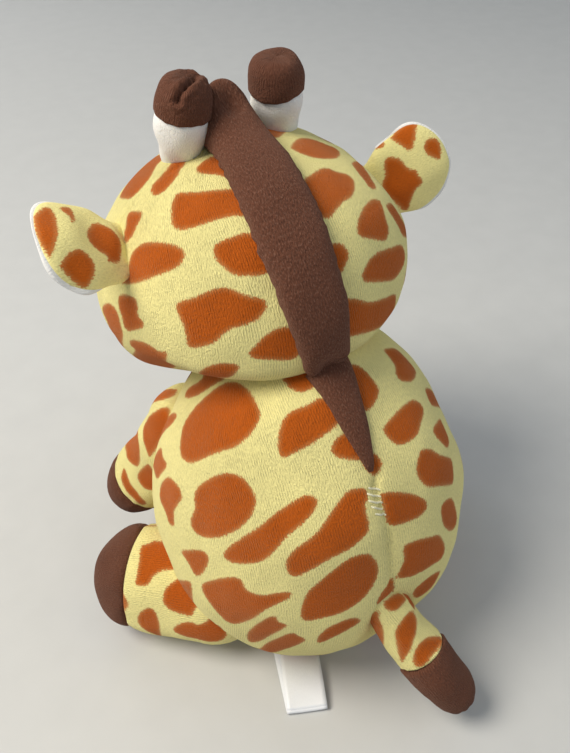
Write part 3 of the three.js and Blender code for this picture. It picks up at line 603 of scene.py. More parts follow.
def blown_up(surface, held):
    """How far each point of a closed cloth moves under pressure from inside, in millimetres."""
    start = surface.vertices()
    mesh = bpy.data.meshes.new("cloth")
    mesh.from_pydata((start * METRE).tolist(), [], surface.faces())
    piece = bpy.data.objects.new("cloth", mesh)
    scene = bpy.context.scene
    scene.collection.objects.link(piece)
    group = piece.vertex_groups.new(name="held")
    for index, weight in enumerate(held.ravel().tolist()):
        group.add([index], min(1.0, weight), "REPLACE")
    cloth = piece.modifiers.new("Cloth", "CLOTH")
    cloth.settings.vertex_group_mass = group.name
    cloth.settings.mass = CLOTH_MASS
    cloth.settings.quality = CLOTH_QUALITY
    cloth.settings.tension_stiffness = CLOTH_STRETCH
    cloth.settings.compression_stiffness = CLOTH_STRETCH
    cloth.settings.bending_stiffness = CLOTH_BEND
    cloth.settings.use_pressure = True
    cloth.settings.uniform_pressure_force = CLOTH_PRESSURE
    cloth.settings.effector_weights.gravity = 0
    cloth.point_cache.frame_end = CLOTH_FRAMES
    for step in range(1, CLOTH_FRAMES + 1):
        scene.frame_set(step)
    settled = piece.evaluated_get(bpy.context.evaluated_depsgraph_get())
    places = np.empty(3 * len(start))
    settled.data.vertices.foreach_get("co", places)
    scene.frame_set(1)
    bpy.data.objects.remove(piece)
    bpy.data.meshes.remove(mesh)
    return places.reshape(-1, 3) / METRE - start


def make_piece(name, surface, material, body, stands_for=(), patch=None, bend=None):
    """A mesh from a surface, riding on its body and standing for its solids."""
    mesh = bpy.data.meshes.new(name)
    mesh.from_pydata((surface.vertices() * METRE).tolist(), [], surface.faces())
    for measure in ("across", "along"):
        values = surface.corner_values(getattr(surface, measure))
        layer = mesh.attributes.new(measure, "FLOAT", "CORNER")
        layer.data.foreach_set("value", values.astype(np.float32))
    if patch is not None:
        layer = mesh.attributes.new("patch", "FLOAT", "POINT")
        layer.data.foreach_set("value", patch.astype(np.float32))
    mesh.shade_smooth()
    return settle(bpy.data.objects.new(name, mesh), material, body, stands_for, bend)


def settle(piece, material, body, stands_for=(), bend=None):
    """A piece takes its material and rides on its body, and the solids it stands for are hidden. With a
    bend it is baked in place and rides on no body; what the bend names is not used."""
    bpy.context.scene.collection.objects.link(piece)
    piece.data.materials.append(material)
    if bend is None:
        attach(piece, body)
    else:
        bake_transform(piece)
    if stands_for:
        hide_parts(*stands_for)
    return piece


# From the picture's pixels to the fabric


def sight(pixel):
    across, down = pixel[0] - PICTURE_CENTRE[0], pixel[1] - PICTURE_CENTRE[1]
    return unit(CAMERA_FORWARD * PICTURE_FOCUS + CAMERA_RIGHT * across + CAMERA_DOWN * down)


def trace(trees, pixel):
    """Where a pixel's line of sight meets the fabric, and the fabric's direction there.
    A line that just misses wraps round the edge of the nearest piece."""
    ray = sight(pixel)
    hits = [tree.ray_cast(CAMERA_PLACE, ray) for tree in trees]
    hits = [hit for hit in hits if hit[0] is not None]
    if hits:
        place, facing, _, _ = min(hits, key=lambda hit: hit[3])
        return np.array(place), np.array(facing)
    nearest = None
    for tree in trees:
        for reach in np.arange(SIGHT_NEAR, SIGHT_FAR, SIGHT_STEP):
            place, _, _, gap = tree.find_nearest(CAMERA_PLACE + ray * reach)
            if nearest is None or gap < nearest[1]:
                nearest = (np.array(place), gap, tree)
    place, gap, tree = nearest
    place, facing, _, _ = tree.find_nearest(place + ray * gap * SIGHT_WRAP)
    return np.array(place), np.array(facing)


def distance_to_path(points, path):
    """Distance from each point to an open line through the path's points."""
    nearest = np.full(points.shape[:-1], np.inf)
    for start, end in zip(path[:-1], path[1:]):
        step = end - start
        share = np.clip(((points - start) @ step) / (step @ step), 0, 1)
        gap = np.linalg.norm(points - start - share[..., None] * step, axis=-1)
        nearest = np.minimum(nearest, gap)
    return nearest


# Spots


def rounded(corners):
    """A closed smooth curve through the corners."""
    before, after, beyond = np.roll(corners, 1, 0), np.roll(corners, -1, 0), np.roll(corners, -2, 0)
    steps = []
    for step in range(CURVE_STEPS):
        t = step / CURVE_STEPS
        steps.append(
            0.5 * (2 * corners + (after - before) * t
                   + (2 * before - 5 * corners + 4 * after - beyond) * t**2
                   + (3 * corners - before - 3 * after + beyond) * t**3)
        )
    return np.stack(steps, 1).reshape(-1, 2)


def inside_distance(places, curve):
    """Signed distance of flat places to a closed curve, positive inside."""
    start, end = curve, np.roll(curve, -1, 0)
    step = end - start
    offset = places[:, None] - start[None]
    share = np.clip((offset * step).sum(-1) / np.maximum((step * step).sum(-1), NEARLY_ZERO), 0, 1)
    gap = np.linalg.norm(offset - share[..., None] * step, axis=-1).min(1)
    above = (start[None, :, 1] > places[:, None, 1]) != (end[None, :, 1] > places[:, None, 1])
    level = np.where(np.abs(step[:, 1]) < NEARLY_ZERO, NEARLY_ZERO, step[:, 1])
    crossing = start[:, 0] + (places[:, None, 1] - start[:, 1]) / level * step[:, 0]
    inside = (above & (places[:, None, 0] < crossing)).sum(1) % 2 == 1
    return np.where(inside, gap, -gap)


def lay_spot(field, points, normals, outline, facing):
    """Lays a spot's outline flat on the fabric under it and keeps the greater distance."""
    centre = outline.mean(0)
    side = unit(np.cross(facing, UPWARD if abs(facing[2]) < SPOT_STEEP else BACKWARD))
    plane = np.stack([side, np.cross(facing, side)], 1)
    curve = rounded((outline - centre) @ plane)
    reach = np.linalg.norm(outline - centre, axis=1).max() + SPOT_REACH
    near = (np.linalg.norm(points - centre, axis=1) < reach) & (normals @ facing > 0)
    if near.any():
        distance = inside_distance((points[near] - centre) @ plane, curve)
        field[near] = np.maximum(field[near], distance)


def spotted(surface, outlines, trees, seed=None, hidden_side_only=True):
    """The spot field of a surface: the given outlines, then seeded spots that lie on its far side,
    or nearly so, and a channel away from every other spot."""
    points, normals = surface.vertices(), surface.normals()
    field = np.full(len(points), SPOT_NOWHERE)
    for outline in outlines:
        traced = [trace(trees, pixel) for pixel in outline]
        places = np.array([place for place, _ in traced])
        lay_spot(field, points, normals, places, unit(np.mean([facing for _, facing in traced], 0)))
    if seed is None:
        return field
    chance = np.random.default_rng(seed)
    turned_away = ((CAMERA_PLACE - points) * normals).sum(1) < 0
    allowed = turned_away if hidden_side_only else np.full(len(points), True)
    for radius in SPOT_RADII:
        for index in chance.permutation(len(points))[:SPOT_TRIES]:
            if not allowed[index] or field[index] > -(radius * SPOT_STRETCH[0] + SPOT_CHANNEL):
                continue
            trial = np.full(len(points), SPOT_NOWHERE)
            lay_spot(trial, points, normals, *seeded_spot(points[index], normals[index], radius, chance))
            covered = trial > 0
            hidden = covered.any() and allowed[covered].mean() > SPOT_HIDDEN_SHARE
            if hidden and not (field[trial > -SPOT_CHANNEL] > 0).any():
                field = np.maximum(field, trial)
    return field


def seeded_spot(centre, facing, radius, chance):
    side = unit(np.cross(facing, unit(chance.normal(size=3))))
    other = np.cross(facing, side)
    stretch = chance.uniform(*SPOT_STRETCH)
    angles = np.arange(SPOT_CORNERS) * FULL_TURN / SPOT_CORNERS
    reach = radius * (1 + SPOT_UNEVEN * chance.uniform(-1, 1, SPOT_CORNERS))
    outline = centre + np.outer(reach * np.cos(angles) * stretch, side)
    return outline + np.outer(reach * np.sin(angles) / stretch, other), facing


# Forms


def body_halves(height):
    rise = height - BODY_WIDEST
    above = rise > 0
    reach = np.where(above, BODY_TOP - BODY_WIDEST, BODY_WIDEST + BODY_SINK)
    power = np.where(above, BODY_POWER_ABOVE, BODY_POWER_BELOW)
    full = np.sqrt(np.maximum(0, 1 - (np.abs(rise) / reach) ** power))
    seat = np.where(above, 0, BODY_SEAT_RADIUS)
    return mix(seat, BODY_HALF_WIDTH, full), mix(seat, BODY_HALF_DEPTH, full)


def on_body(height, around):
    """A point of the body's cover: height, and angle from the front toward the toy's left."""
    wide, deep = body_halves(height)
    lean = BODY_LEAN * np.maximum(0, (height - BODY_WIDEST) / (BODY_TOP - BODY_WIDEST)) ** 2
    x, y = wide * np.sin(around), -deep * np.cos(around) - lean
    cleft = CLEFT_DEPTH * bell(x, CLEFT_WIDTH) * bell(height - CLEFT_HEIGHT, CLEFT_REACH)
    y = y - np.where(y > 0, cleft, 0)
    return np.stack(np.broadcast_arrays(x, y, height), -1)


BODY_ROWS, BODY_COLUMNS = 150, 240
BODY_TOP_GAP = 0.02
BODY_STAND = 0.25
BODY_PUFF, HEAD_PUFF, LIMB_PUFF, MUZZLE_PUFF, MANE_PUFF = 1.5, 1.2, 0.8, 0.6, 0.5
BODY_LUMPS, BODY_SHORT_SHARE = (34, 11), 0.22
NECK_RADIUS = 30.0
SEWN_WIDTH, ROOT_HELD, COLLAR_HELD, SEAT_HELD, SEAT_EASE = 2.5, 3, 4, 6, 14
PUCKER_WIDTH, PUCKER_STEP, PUCKER_HEIGHT = 5.0, 3.4, 0.25
BACK_SEAM_WIDTH, FRONT_SEAM_WIDTH, FRONT_SEAM_SHARE = 1.3, 1.1, 0.6


@lru_cache(maxsize=None)
def body_surface():
    turn = np.linspace(math.pi / 2 - BODY_TOP_GAP, -math.pi / 2, BODY_ROWS)
    rise = np.sin(turn)
    height = BODY_WIDEST + np.where(rise > 0, BODY_TOP - BODY_WIDEST, BODY_WIDEST + BODY_SINK) * rise
    around = np.linspace(0, FULL_TURN, BODY_COLUMNS + 1)
    grid_height, grid_around = np.meshgrid(height, around, indexing="ij")
    points = on_body(grid_height, grid_around)
    across = body_halves(grid_height)[0] * (grid_around - math.pi)
    surface = wrapped(points, across, lengths_along(points[:, 0]))
    tree = surface.tree()
    seam = np.array([trace([tree], pixel)[0] for pixel in BACK_SEAM])
    places = surface.points
    beside = distance_to_path(places, seam)
    in_front = places[..., 1] < 0
    pleats = np.sin(places[..., 2] * FULL_TURN / PUCKER_STEP + places[..., 0])
    pucker = bell(beside, PUCKER_WIDTH) * pleats * PUCKER_HEIGHT
    front = bell(places[..., 0], FRONT_SEAM_WIDTH) * in_front
    sewn = np.maximum(bell(beside, SEWN_WIDTH), bell(places[..., 0], SEWN_WIDTH) * in_front)
    for limb, sides in ((ARM, (1, -1)), (LEG, (1, -1)), (TAIL, (1,))):
        for side in sides:
            gap = gap_to(places, np.array(limb[0]) * (side, 1, 1)) - limb[4]
            sewn = np.maximum(sewn, bell(np.maximum(gap, 0), ROOT_HELD))
    collar = gap_to(places, NECK_PIVOT) - NECK_RADIUS
    sewn = np.maximum(sewn, bell(np.maximum(collar, 0), COLLAR_HELD))
    sewn = np.maximum(sewn, 1 - ease(places[..., 2] / SEAT_HELD))
    surface.relax(sewn, BODY_PUFF)
    places, depth = surface.points, millimetres("seam")
    stuffing = lumps(places, BODY_LUMPS, BODY_SHORT_SHARE, BODY_SEED)
    groove = stuffing + pucker - depth * bell(beside, BACK_SEAM_WIDTH) - depth * FRONT_SEAM_SHARE * front
    surface.swell(groove * ease(places[..., 2] / SEAT_EASE))
    surface.points[..., 2] = np.maximum(surface.points[..., 2], BODY_STAND)
    return surface


def over_head(share):
    """Points of the head's cover and the ways out of it, for points of a unit ball."""
    tuck = 1 - HEAD_TUCK * np.clip(share[..., 1] / HEAD_TUCK_FULL, 0, 1)
    share[..., 2] = np.where(share[..., 2] < 0, share[..., 2] * tuck, share[..., 2])
    out = unit(turned_about_x(share / HEAD_HALVES, HEAD_TILT))
    return turned_about_x(share * HEAD_HALVES, HEAD_TILT) + HEAD_CENTRE, out


def on_head(around, up):
    """A point of the head's cover and the way out of it: angle from the front, and angle up."""
    return over_head(direction_of(around, up))


HEAD_ROWS, HEAD_COLUMNS = 130, 220
HEAD_POLE = 89
HEAD_LUMPS, HEAD_SHORT_SHARE = (36, 12), 0.2
CHIN_HELD = 24
SIDE_SEAM_AHEAD = 4
MIDDLE_SEAM_WIDTH, SIDE_SEAM_WIDTH, HEAD_SEAM_DEPTH = 1.0, 1.1, 0.45
EYE_DIMPLE, HORN_DIMPLE, EAR_DIMPLE = (1.3, 8.5), (-0.8, 10), (0.9, 8)


@lru_cache(maxsize=None)
def head_surface():
    up = np.linspace(HEAD_POLE, -HEAD_POLE, HEAD_ROWS)
    around = np.linspace(0, 360, HEAD_COLUMNS + 1)
    grid_up, grid_around = np.meshgrid(up, around, indexing="ij")
    points = on_head(grid_around, grid_up)[0]
    across = HEAD_HALVES[0] * np.cos(np.radians(grid_up)) * np.radians(grid_around - 180)
    surface = wrapped(points, across, lengths_along(points[:, 0]))
    places = surface.points
    middle = bell(places[..., 0], SEWN_WIDTH)
    from_chin = np.degrees(np.arccos(np.clip(-unit(places - HEAD_CENTRE)[..., 2], -1, 1)))
    side_seam = bell(places[..., 1] - HEAD_CENTRE[1] + SIDE_SEAM_AHEAD, SEWN_WIDTH)
    surface.relax(np.maximum(np.maximum(middle, bell(from_chin, CHIN_HELD)), side_seam), HEAD_PUFF)
    places = surface.points
    dimples = HEAD_SEAM_DEPTH * bell(places[..., 0], MIDDLE_SEAM_WIDTH)
    behind = places[..., 1] - HEAD_CENTRE[1] + SIDE_SEAM_AHEAD
    dimples = dimples + HEAD_SEAM_DEPTH * bell(behind, SIDE_SEAM_WIDTH)
    for side, _ in SIDES:
        for (depth, width), around, up in (
            (EYE_DIMPLE, side * EYE_AROUND, EYE_UP),
            (HORN_DIMPLE, side * HORN_AROUND, HORN_UP),
            (EAR_DIMPLE, side * EAR_AROUND, EAR_UPS[side]),
        ):
            dimples = dimples + depth * bell(gap_to(places, on_head(around, up)[0]), width)
    return surface.swell(lumps(places, HEAD_LUMPS, HEAD_SHORT_SHARE, HEAD_SEED) - dimples)


MUZZLE_ROWS, MUZZLE_COLUMNS = 60, 100
MUZZLE_POLE = 88
MUZZLE_HELD_FROM, MUZZLE_HELD_RUN = 2, 8
MUZZLE_LUMP, MUZZLE_LUMP_SHARE = 24, 0.7
MOUTH_HALF, MOUTH_LOW, MOUTH_RISE, MOUTH_POINTS = 34, -22, 13, 15
MOUTH_HELD, MOUTH_WIDTH, MOUTH_DEPTH = 2.2, 1.6, 0.9
LIP_SEAM_WIDTH, LIP_SEAM_TOP, LIP_SEAM_RUN, LIP_SEAM_DEPTH = 0.9, 4, 3, 0.6


def on_muzzle(around, up):
    share = direction_of(around, up)
    return share * MUZZLE_HALVES + MUZZLE_CENTRE, unit(share / MUZZLE_HALVES)


def mouth_path(count=MOUTH_POINTS):
    around = np.linspace(-MOUTH_HALF, MOUTH_HALF, count)
    return on_muzzle(around, MOUTH_LOW + MOUTH_RISE * (around / MOUTH_HALF) ** 2)[0]


def muzzle_surface():
    up = np.linspace(MUZZLE_POLE, -MUZZLE_POLE, MUZZLE_ROWS)
    around = np.linspace(-180, 180, MUZZLE_COLUMNS + 1)
    grid_up, grid_around = np.meshgrid(up, around, indexing="ij")
    across = MUZZLE_HALVES[0] * np.cos(np.radians(grid_up)) * np.radians(grid_around)
    along = MUZZLE_HALVES[2] * np.radians(90 - grid_up)
    surface = wrapped(on_muzzle(grid_around, grid_up)[0], across, along)
    mouth = distance_to_path(surface.points, mouth_path())
    sewn = ease((surface.points[..., 1] - MUZZLE_CENTRE[1] - MUZZLE_HELD_FROM) / MUZZLE_HELD_RUN)
    surface.relax(np.maximum(sewn, bell(mouth, MOUTH_HELD)), MUZZLE_PUFF)
    places = surface.points
    seam = bell(places[..., 0], LIP_SEAM_WIDTH)
    seam = seam * ease((MUZZLE_CENTRE[2] + LIP_SEAM_TOP - places[..., 2]) / LIP_SEAM_RUN)
    stuffing = waves(places, MUZZLE_LUMP, MUZZLE_SEED) * millimetres("lump") * MUZZLE_LUMP_SHARE
    return surface.swell(stuffing - MOUTH_DEPTH * bell(mouth, MOUTH_WIDTH) - LIP_SEAM_DEPTH * seam)


# Each kind of limb: its measures, the number of gathers at its seam, and how wrinkled its end piece is
LIMBS = {"arm": (ARM, 16, 0.1), "leg": (LEG, 18, 0.2), "tail": (TAIL, 22, 0.1)}
LIMB_COLUMNS = 96
LIMB_ROWS = {"sleeve": 70, "end": 60}
BALL_ROWS, BALL_GAP = 10, 0.05
LIP_SHARES = (0.995, 0.98, 0.955)
HOOF_SWELL, HOOF_SWELL_RUN, END_TAPER_RUN = 0.04, 4, 4
LIMB_SEAM_HELD, LIMB_ROOT_HELD, LIMB_SEAM_EASE = 2.0, 4.0, 1.6
LIMB_LUMP, LIMB_LUMP_SHARE = 22, 0.9
SLEEVE_WRINKLE, WRINKLE_LENGTH, WRINKLE_SQUEEZE = 0.08, 9, (1, 1, 0.6)
WRINKLE_SEED_STEP, LIMB_SEED_STEP = 5, 3
GATHER_WAVES, GATHER_SPREAD, GATHER_HEIGHT, GATHER_REACH = 3, 4, 0.42, 4.5
PINCH_DEPTH, PINCH_WIDTH = 1.9, 2.4
PINCH_RAYS, RAY_HEIGHT, RAY_PLACE, RAY_WIDTH = 9, 0.32, 5, 3.5


def spine_of(limb):
    """The curved middle line of a limb, as a function of the share of its length."""
    pivot, heading, length, bow = (np.array(value, float) for value in limb[:4])
    tip = pivot + unit(heading) * length
    middle = (pivot + tip) / 2 + bow

    def at(share):
        share = np.asarray(share, float)[..., None]
        point = (1 - share) ** 2 * pivot + 2 * share * (1 - share) * middle + share**2 * tip
        tangent = unit(2 * (1 - share) * (middle - pivot) + 2 * share * (tip - middle))
        return point, tangent

    return at


def limb_surface(kind, part, seed, wrinkle):
    """The sleeve or the end piece of a stuffed limb, drawn in where the two are sewn together."""
    limb, gathers = LIMBS[kind][:2]
    length, (root, end, seam) = limb[2], limb[4:]
    spine = spine_of(limb)
    rows = LIMB_ROWS[part]
    if part == "sleeve":
        share = np.linspace(0, seam, rows)
        lips = np.ones(rows)
        lips[-len(LIP_SHARES):] = LIP_SHARES
    else:
        share = seam + (1 - seam) * np.sin(np.linspace(0, math.pi / 2, rows))
        share[-1] = NEARLY_ONE
        lips = 1 + HOOF_SWELL * ease((share - seam) / (1 - seam) * HOOF_SWELL_RUN)
        lips[:len(LIP_SHARES)] = LIP_SHARES[::-1]
    radius = mix(root, end, share) * np.sqrt(np.maximum(0, 1 - share ** LIMB_END_POWERS[kind])) * lips
    centre, tangent = spine(share)
    if part == "sleeve":
        bend = np.linspace(-math.pi / 2 + BALL_GAP, 0, BALL_ROWS, endpoint=False)
        pivot, heading = spine(0.0)
        centre = np.vstack([pivot + np.outer(root * np.sin(bend), heading), centre])
        tangent = np.vstack([np.broadcast_to(heading, (BALL_ROWS, 3)), tangent])
        radius = np.concatenate([root * np.cos(bend), radius])
        share = np.concatenate([root / length * np.sin(bend), share])
    side = unit(np.cross(tangent, UPWARD))
    angle = np.linspace(-math.pi, math.pi, LIMB_COLUMNS + 1)
    points = rings(centre, np.cross(side, tangent), side, radius, angle)
    surface = wrapped(points, angle * mix(root, end, seam), share * length)
    away = np.abs(share - seam)[:, None] * length
    held = np.maximum(bell(away, LIMB_SEAM_HELD), bell(share[:, None] * length, LIMB_ROOT_HELD))
    surface.relax(np.broadcast_to(held, surface.points.shape[:2]), LIMB_PUFF)
    places = surface.points
    chance = np.random.default_rng(seed)
    folds = 0
    for _ in range(GATHER_WAVES):
        count = chance.integers(gathers - GATHER_SPREAD, gathers + GATHER_SPREAD + 1)
        folds = folds + np.cos(angle[:-1] * count + chance.uniform(0, FULL_TURN))
    stuffing = waves(places, LIMB_LUMP, seed) * millimetres("lump") * LIMB_LUMP_SHARE
    wrinkles = waves(places * np.array(WRINKLE_SQUEEZE), WRINKLE_LENGTH, seed + WRINKLE_SEED_STEP) * wrinkle
    gathered = GATHER_HEIGHT * (folds / GATHER_WAVES) * np.exp(-away / GATHER_REACH)
    if kind == "tail" and part == "end":
        gap = gap_to(places, centre[-1])
        rays = RAY_HEIGHT * np.cos(angle[:-1] * PINCH_RAYS)
        gathered = gathered - PINCH_DEPTH * bell(gap, PINCH_WIDTH) + rays * bell(gap - RAY_PLACE, RAY_WIDTH)
    taper = np.sqrt(np.clip((1 - share) * END_TAPER_RUN, 0, 1))[:, None]
    surface.swell((stuffing + wrinkles + gathered) * taper * ease(away / LIMB_SEAM_EASE))
    surface.points[..., 2] = np.maximum(surface.points[..., 2], BODY_STAND)
    return surface


CREASE_DEPTHS = {1: 1.6, -1: 0.35}
CREASE_WIDTH, CREASE_LIP_SHARE, CREASE_LIP_PLACE, CREASE_LIP_WIDTH = 0.8, 0.3, 1.9, 1.0
CREASE_CRUMPLE, CREASE_CRUMPLE_WIDTH, CREASE_CRUMPLE_LENGTH = 0.13, 5, 2.0
FAR_CREASE_RUN, FAR_CREASE_WAY, FAR_CREASE_DROPS = (1, 6), (0.5, -0.85, 0.0), (0, 0, 1, 2, 3)
CAP_BLUNT = {1: 0.5, -1: 0.36}
CAP_SWELLS, CAP_LIPS, STALK_LIPS = (1.04, 1.1), (0.86, 0.96, 1.0), (0.98, 0.9)
STALK_OVERLAP, CAP_OVERLAP, STALK_FULL_SHARE = 0.4, 0.6, 0.5
POLE_RADIUS = 0.05
HORN_COLUMNS = 72
HORN_ROWS = {"stalk": 24, "cap": 44}
HORN_LUMP, HORN_LUMP_HEIGHT = 9, 0.25
HORN_GATHERS, HORN_GATHER_HEIGHT, HORN_GATHER_REACH, HORN_END_RUN = 13, 0.07, 1.6, 12


def horn_surface(side, part):
    """The stalk or the cap of a horn, with the deep crease in the left cap."""
    foot = on_head(HORN_AROUND, HORN_UP)[0]
    lean = unit(np.array(HORN_LEAN))
    seam = HORN_LENGTH * HORN_SEAMS[side]
    if part == "stalk":
        reach = np.linspace(-HORN_SINK, seam + STALK_OVERLAP, HORN_ROWS[part])
        full = np.sin(np.clip((reach + HORN_SINK * STALK_FULL_SHARE) / seam, 0, 1) * math.pi / 2)
        radius = HORN_RADIUS * mix(STALK_FOOT_SHARE, 1.0, full)
        radius[-len(STALK_LIPS):] *= STALK_LIPS
    else:
        turn = np.linspace(0, math.pi / 2, HORN_ROWS[part])
        share = np.sin(turn)
        reach = seam - CAP_OVERLAP + (HORN_LENGTH - seam + CAP_OVERLAP) * share
        radius = HORN_RADIUS * mix(*CAP_SWELLS, ease(share * 2)) * np.cos(turn) ** CAP_BLUNT[side]
        radius[:len(CAP_LIPS)] *= CAP_LIPS
        radius[-1] = POLE_RADIUS
    across_side = unit(np.cross(lean, BACKWARD))
    angle = np.linspace(-math.pi, math.pi, HORN_COLUMNS + 1)
    centre = foot + np.outer(reach, lean)
    points = rings(centre, np.cross(across_side, lean), across_side, radius, angle)
    surface = wrapped(points, angle * HORN_RADIUS, reach)
    if side < 0:
        surface = surface.mirrored()
    places = surface.points
    amount = waves(places, HORN_LUMP, HORN_SEED + side) * HORN_LUMP_HEIGHT
    if part == "cap":
        if side > 0:
            tree = surface.tree()
            crease = np.array([trace([tree], pixel)[0] for pixel in CAP_CREASE])
        else:
            run = np.linspace(*FAR_CREASE_RUN, len(FAR_CREASE_DROPS))
            crease = places[-1].mean(0) + np.outer(run, FAR_CREASE_WAY) - np.outer(FAR_CREASE_DROPS, lean)
        depth = CREASE_DEPTHS[side]
        gap = distance_to_path(places, crease)
        amount = amount - depth * bell(gap, CREASE_WIDTH)
        amount = amount + depth * CREASE_LIP_SHARE * bell(gap - CREASE_LIP_PLACE, CREASE_LIP_WIDTH)
        crumple = waves(places, CREASE_CRUMPLE_LENGTH, CREASE_SEED + side)
        amount = amount + CREASE_CRUMPLE * depth * bell(gap, CREASE_CRUMPLE_WIDTH) * crumple
    gathers = HORN_GATHER_HEIGHT * np.cos(angle[:-1] * HORN_GATHERS + side)
    gathers = gathers * bell(reach[:, None] - seam, HORN_GATHER_REACH)
    row_share = np.arange(len(reach))[:, None] / len(reach)
    return surface.swell((amount + gathers) * ease((1 - row_share) * HORN_END_RUN))


EAR_COLUMNS = 72
EAR_ROWS, EAR_END_ROWS = 48, 4
EAR_STARTS = {"back": -0.12, "lining": 0.2}
EAR_BULGE, EAR_UNDERS = 0.75, {"back": 0.35, "lining": 0.5}
EAR_RIM_FADE, EAR_RIM_FROM, EAR_RIM_RUN = -1.2, 0.25, 0.35
EAR_PINCH, EAR_PINCH_PLACE, EAR_PINCH_WIDTH, EAR_PINCH_FOLDS = 0.6, 3.0, 3.0, 3
EAR_LUMP, EAR_LUMP_HEIGHT = 12, 0.3


def ear_frame(side):
    """An ear's root, and the ways along it, to its low edge and out of its face."""
    root = on_head(side * EAR_AROUND, EAR_UPS[side])[0]
    lift, sweep, turn = (math.radians(angle) for angle in (EAR_LIFTS[side], EAR_SWEEP, EAR_TURNS[side]))
    along = unit((side * math.cos(lift) * math.cos(sweep), math.sin(sweep), math.sin(lift)))
    across = unit(np.cross(along, BACKWARD)) * -side
    face = unit(np.cross(across, along))
    face = -face * np.sign(face[1])
    low = across * math.cos(turn) - face * math.sin(turn)
    return root, along, low, face * math.cos(turn) + across * math.sin(turn)


def ear_surface(side, layer):
    """One layer of an ear: the spotted back, or the white lining, whose rim shows along its lower edge."""
    root, along_ear, low_ear, face = ear_frame(side)
    rim, depth, way = (0.0, EAR_BACK_DEPTH, -1) if layer == "back" else (EAR_RIM, EAR_LINING_DEPTH, 1)
    share = np.sin(np.linspace(EAR_STARTS[layer], math.pi / 2, EAR_ROWS))
    share[-1] = NEARLY_ONE
    swell = 1 - (1 - np.clip(share / EAR_FULL, 0, 1)) ** 2
    dome = np.sqrt(1 - np.maximum(0, share) ** EAR_POWER)
    half = mix(EAR_HALF_ROOT, EAR_HALF_WIDTH + rim, swell) * dome
    thick = mix(EAR_ROOT_DEPTH, depth, np.clip(share / EAR_THICK, 0, 1)) * dome
    reach = share * (EAR_LENGTH + rim)
    angle = np.linspace(0, FULL_TURN, EAR_COLUMNS + 1)
    aside = np.outer(half, np.cos(angle))
    if layer == "lining":
        low_rim = EAR_RIM_LOW * mix(EAR_RIM_FADE, 1.0, ease((share - EAR_RIM_FROM) / EAR_RIM_RUN))
        aside = aside + np.outer(swell * dome * low_rim, np.clip(np.cos(angle), 0, 1))
    cup = EAR_CUP * (reach / EAR_LENGTH)[:, None] * (aside / EAR_HALF_WIDTH) ** 2
    bulge = np.sign(np.sin(angle)) * np.abs(np.sin(angle)) ** EAR_BULGE
    rise = np.where(bulge > 0, bulge, bulge * EAR_UNDERS[layer])
    height = way * np.outer(thick, rise) + cup
    points = root + reach[:, None, None] * along_ear + aside[..., None] * low_ear
    points = points + height[..., None] * face
    surface = wrapped(points, aside, reach)
    stuffing = waves(surface.points, EAR_LUMP, EAR_SEED + side) * EAR_LUMP_HEIGHT
    pinch = bell(reach - EAR_PINCH_PLACE, EAR_PINCH_WIDTH)[:, None]
    pinch = pinch * np.cos(angle[:-1] * EAR_PINCH_FOLDS + side) * EAR_PINCH
    fade = np.clip(np.arange(EAR_ROWS)[::-1] / EAR_END_ROWS, 0, 1)[:, None]
    return surface.swell((stuffing + pinch) * fade)


MANE_COLUMNS = 64
MANE_HEAD_ROWS, MANE_BACK_ROWS = 120, 60
MANE_ROOT = 1.6
MANE_SQUARE, MANE_SQUARE_RUN = 0.74, 0.25
MANE_BUMP_AT, MANE_WIDEST_SHIFT = 0.1, 0.1
MANE_LUMP, MANE_LUMP_HEIGHT, MANE_FULL_HEIGHT = 16, 0.2, 2
MANE_FLAT_FROM, MANE_FLAT_RUN = 0.7, 0.28
MANE_ROUND, MANE_ROUND_WIDTH, MANE_CLOSE, MANE_LEAST = 0.045, 0.45, 0.965, 0.02
MANE_EDGE_SHARE, MANE_EDGE_WIDTH, MANE_EDGE_HEIGHT, MANE_EDGE_LENGTH = 0.42, 2.2, 0.28, 4.0
MANE_END_HELD, MANE_CREASE_SHARE = 1.5, 0.6
MANE_BACK_POWER, MANE_BACK_END_RUN, MANE_BACK_WIDER = 1.1, 12, 1
# Each hollow: its pixel, its width and its depth in millimetres
MANE_HOLLOWS = (((231, 103), 3.6, 3.0), ((331, 369), 4.2, 2.4))


def mane_place(share):
    """The mane's middle line over the head, and the ways out of it."""
    rise = np.radians(mix(MANE_START, MANE_END, share))
    drift = MANE_DRIFT * np.sin(math.pi * share) + MANE_BUMP_DRIFT * bell(share, MANE_BUMP_AT)
    drift = drift / HEAD_HALVES[0]
    shrink = np.sqrt(1 - drift**2)
    return over_head(np.stack([drift, shrink * np.cos(rise), shrink * np.sin(rise)], -1))


def strip_surface(place, out, half_width, height, square, seed):
    """A padded strip over its middle line; its squareness runs from 0, boxy, to 1, round."""
    tangent = unit(np.gradient(place, axis=0))
    across_strip = unit(np.cross(tangent, out))
    angle = np.linspace(-math.pi / 2, 1.5 * math.pi, MANE_COLUMNS + 1)
    square = np.broadcast_to(square, half_width.shape)[:, None]
    sideways = np.sign(np.cos(angle)) * np.abs(np.cos(angle)) ** square
    upward = np.where(np.sin(angle) > 0, np.abs(np.sin(angle)) ** square, np.sin(angle))
    rise = np.where(upward > 0, height[:, None] * upward, MANE_ROOT * upward)
    aside = half_width[:, None] * sideways
    points = place[:, None] + aside[..., None] * across_strip[:, None] + rise[..., None] * out[:, None]
    girth = np.cumsum(np.linalg.norm(np.diff(points, axis=1, prepend=points[:, :1]), axis=-1), 1)
    surface = wrapped(points, girth - girth[:, -1:] / 2, lengths_along(place))
    thin = np.clip(height, 0, MANE_FULL_HEIGHT)[:, None]
    stuffing = waves(surface.points, MANE_LUMP, seed) * MANE_LUMP_HEIGHT
    return surface.swell(stuffing * thin / MANE_FULL_HEIGHT)


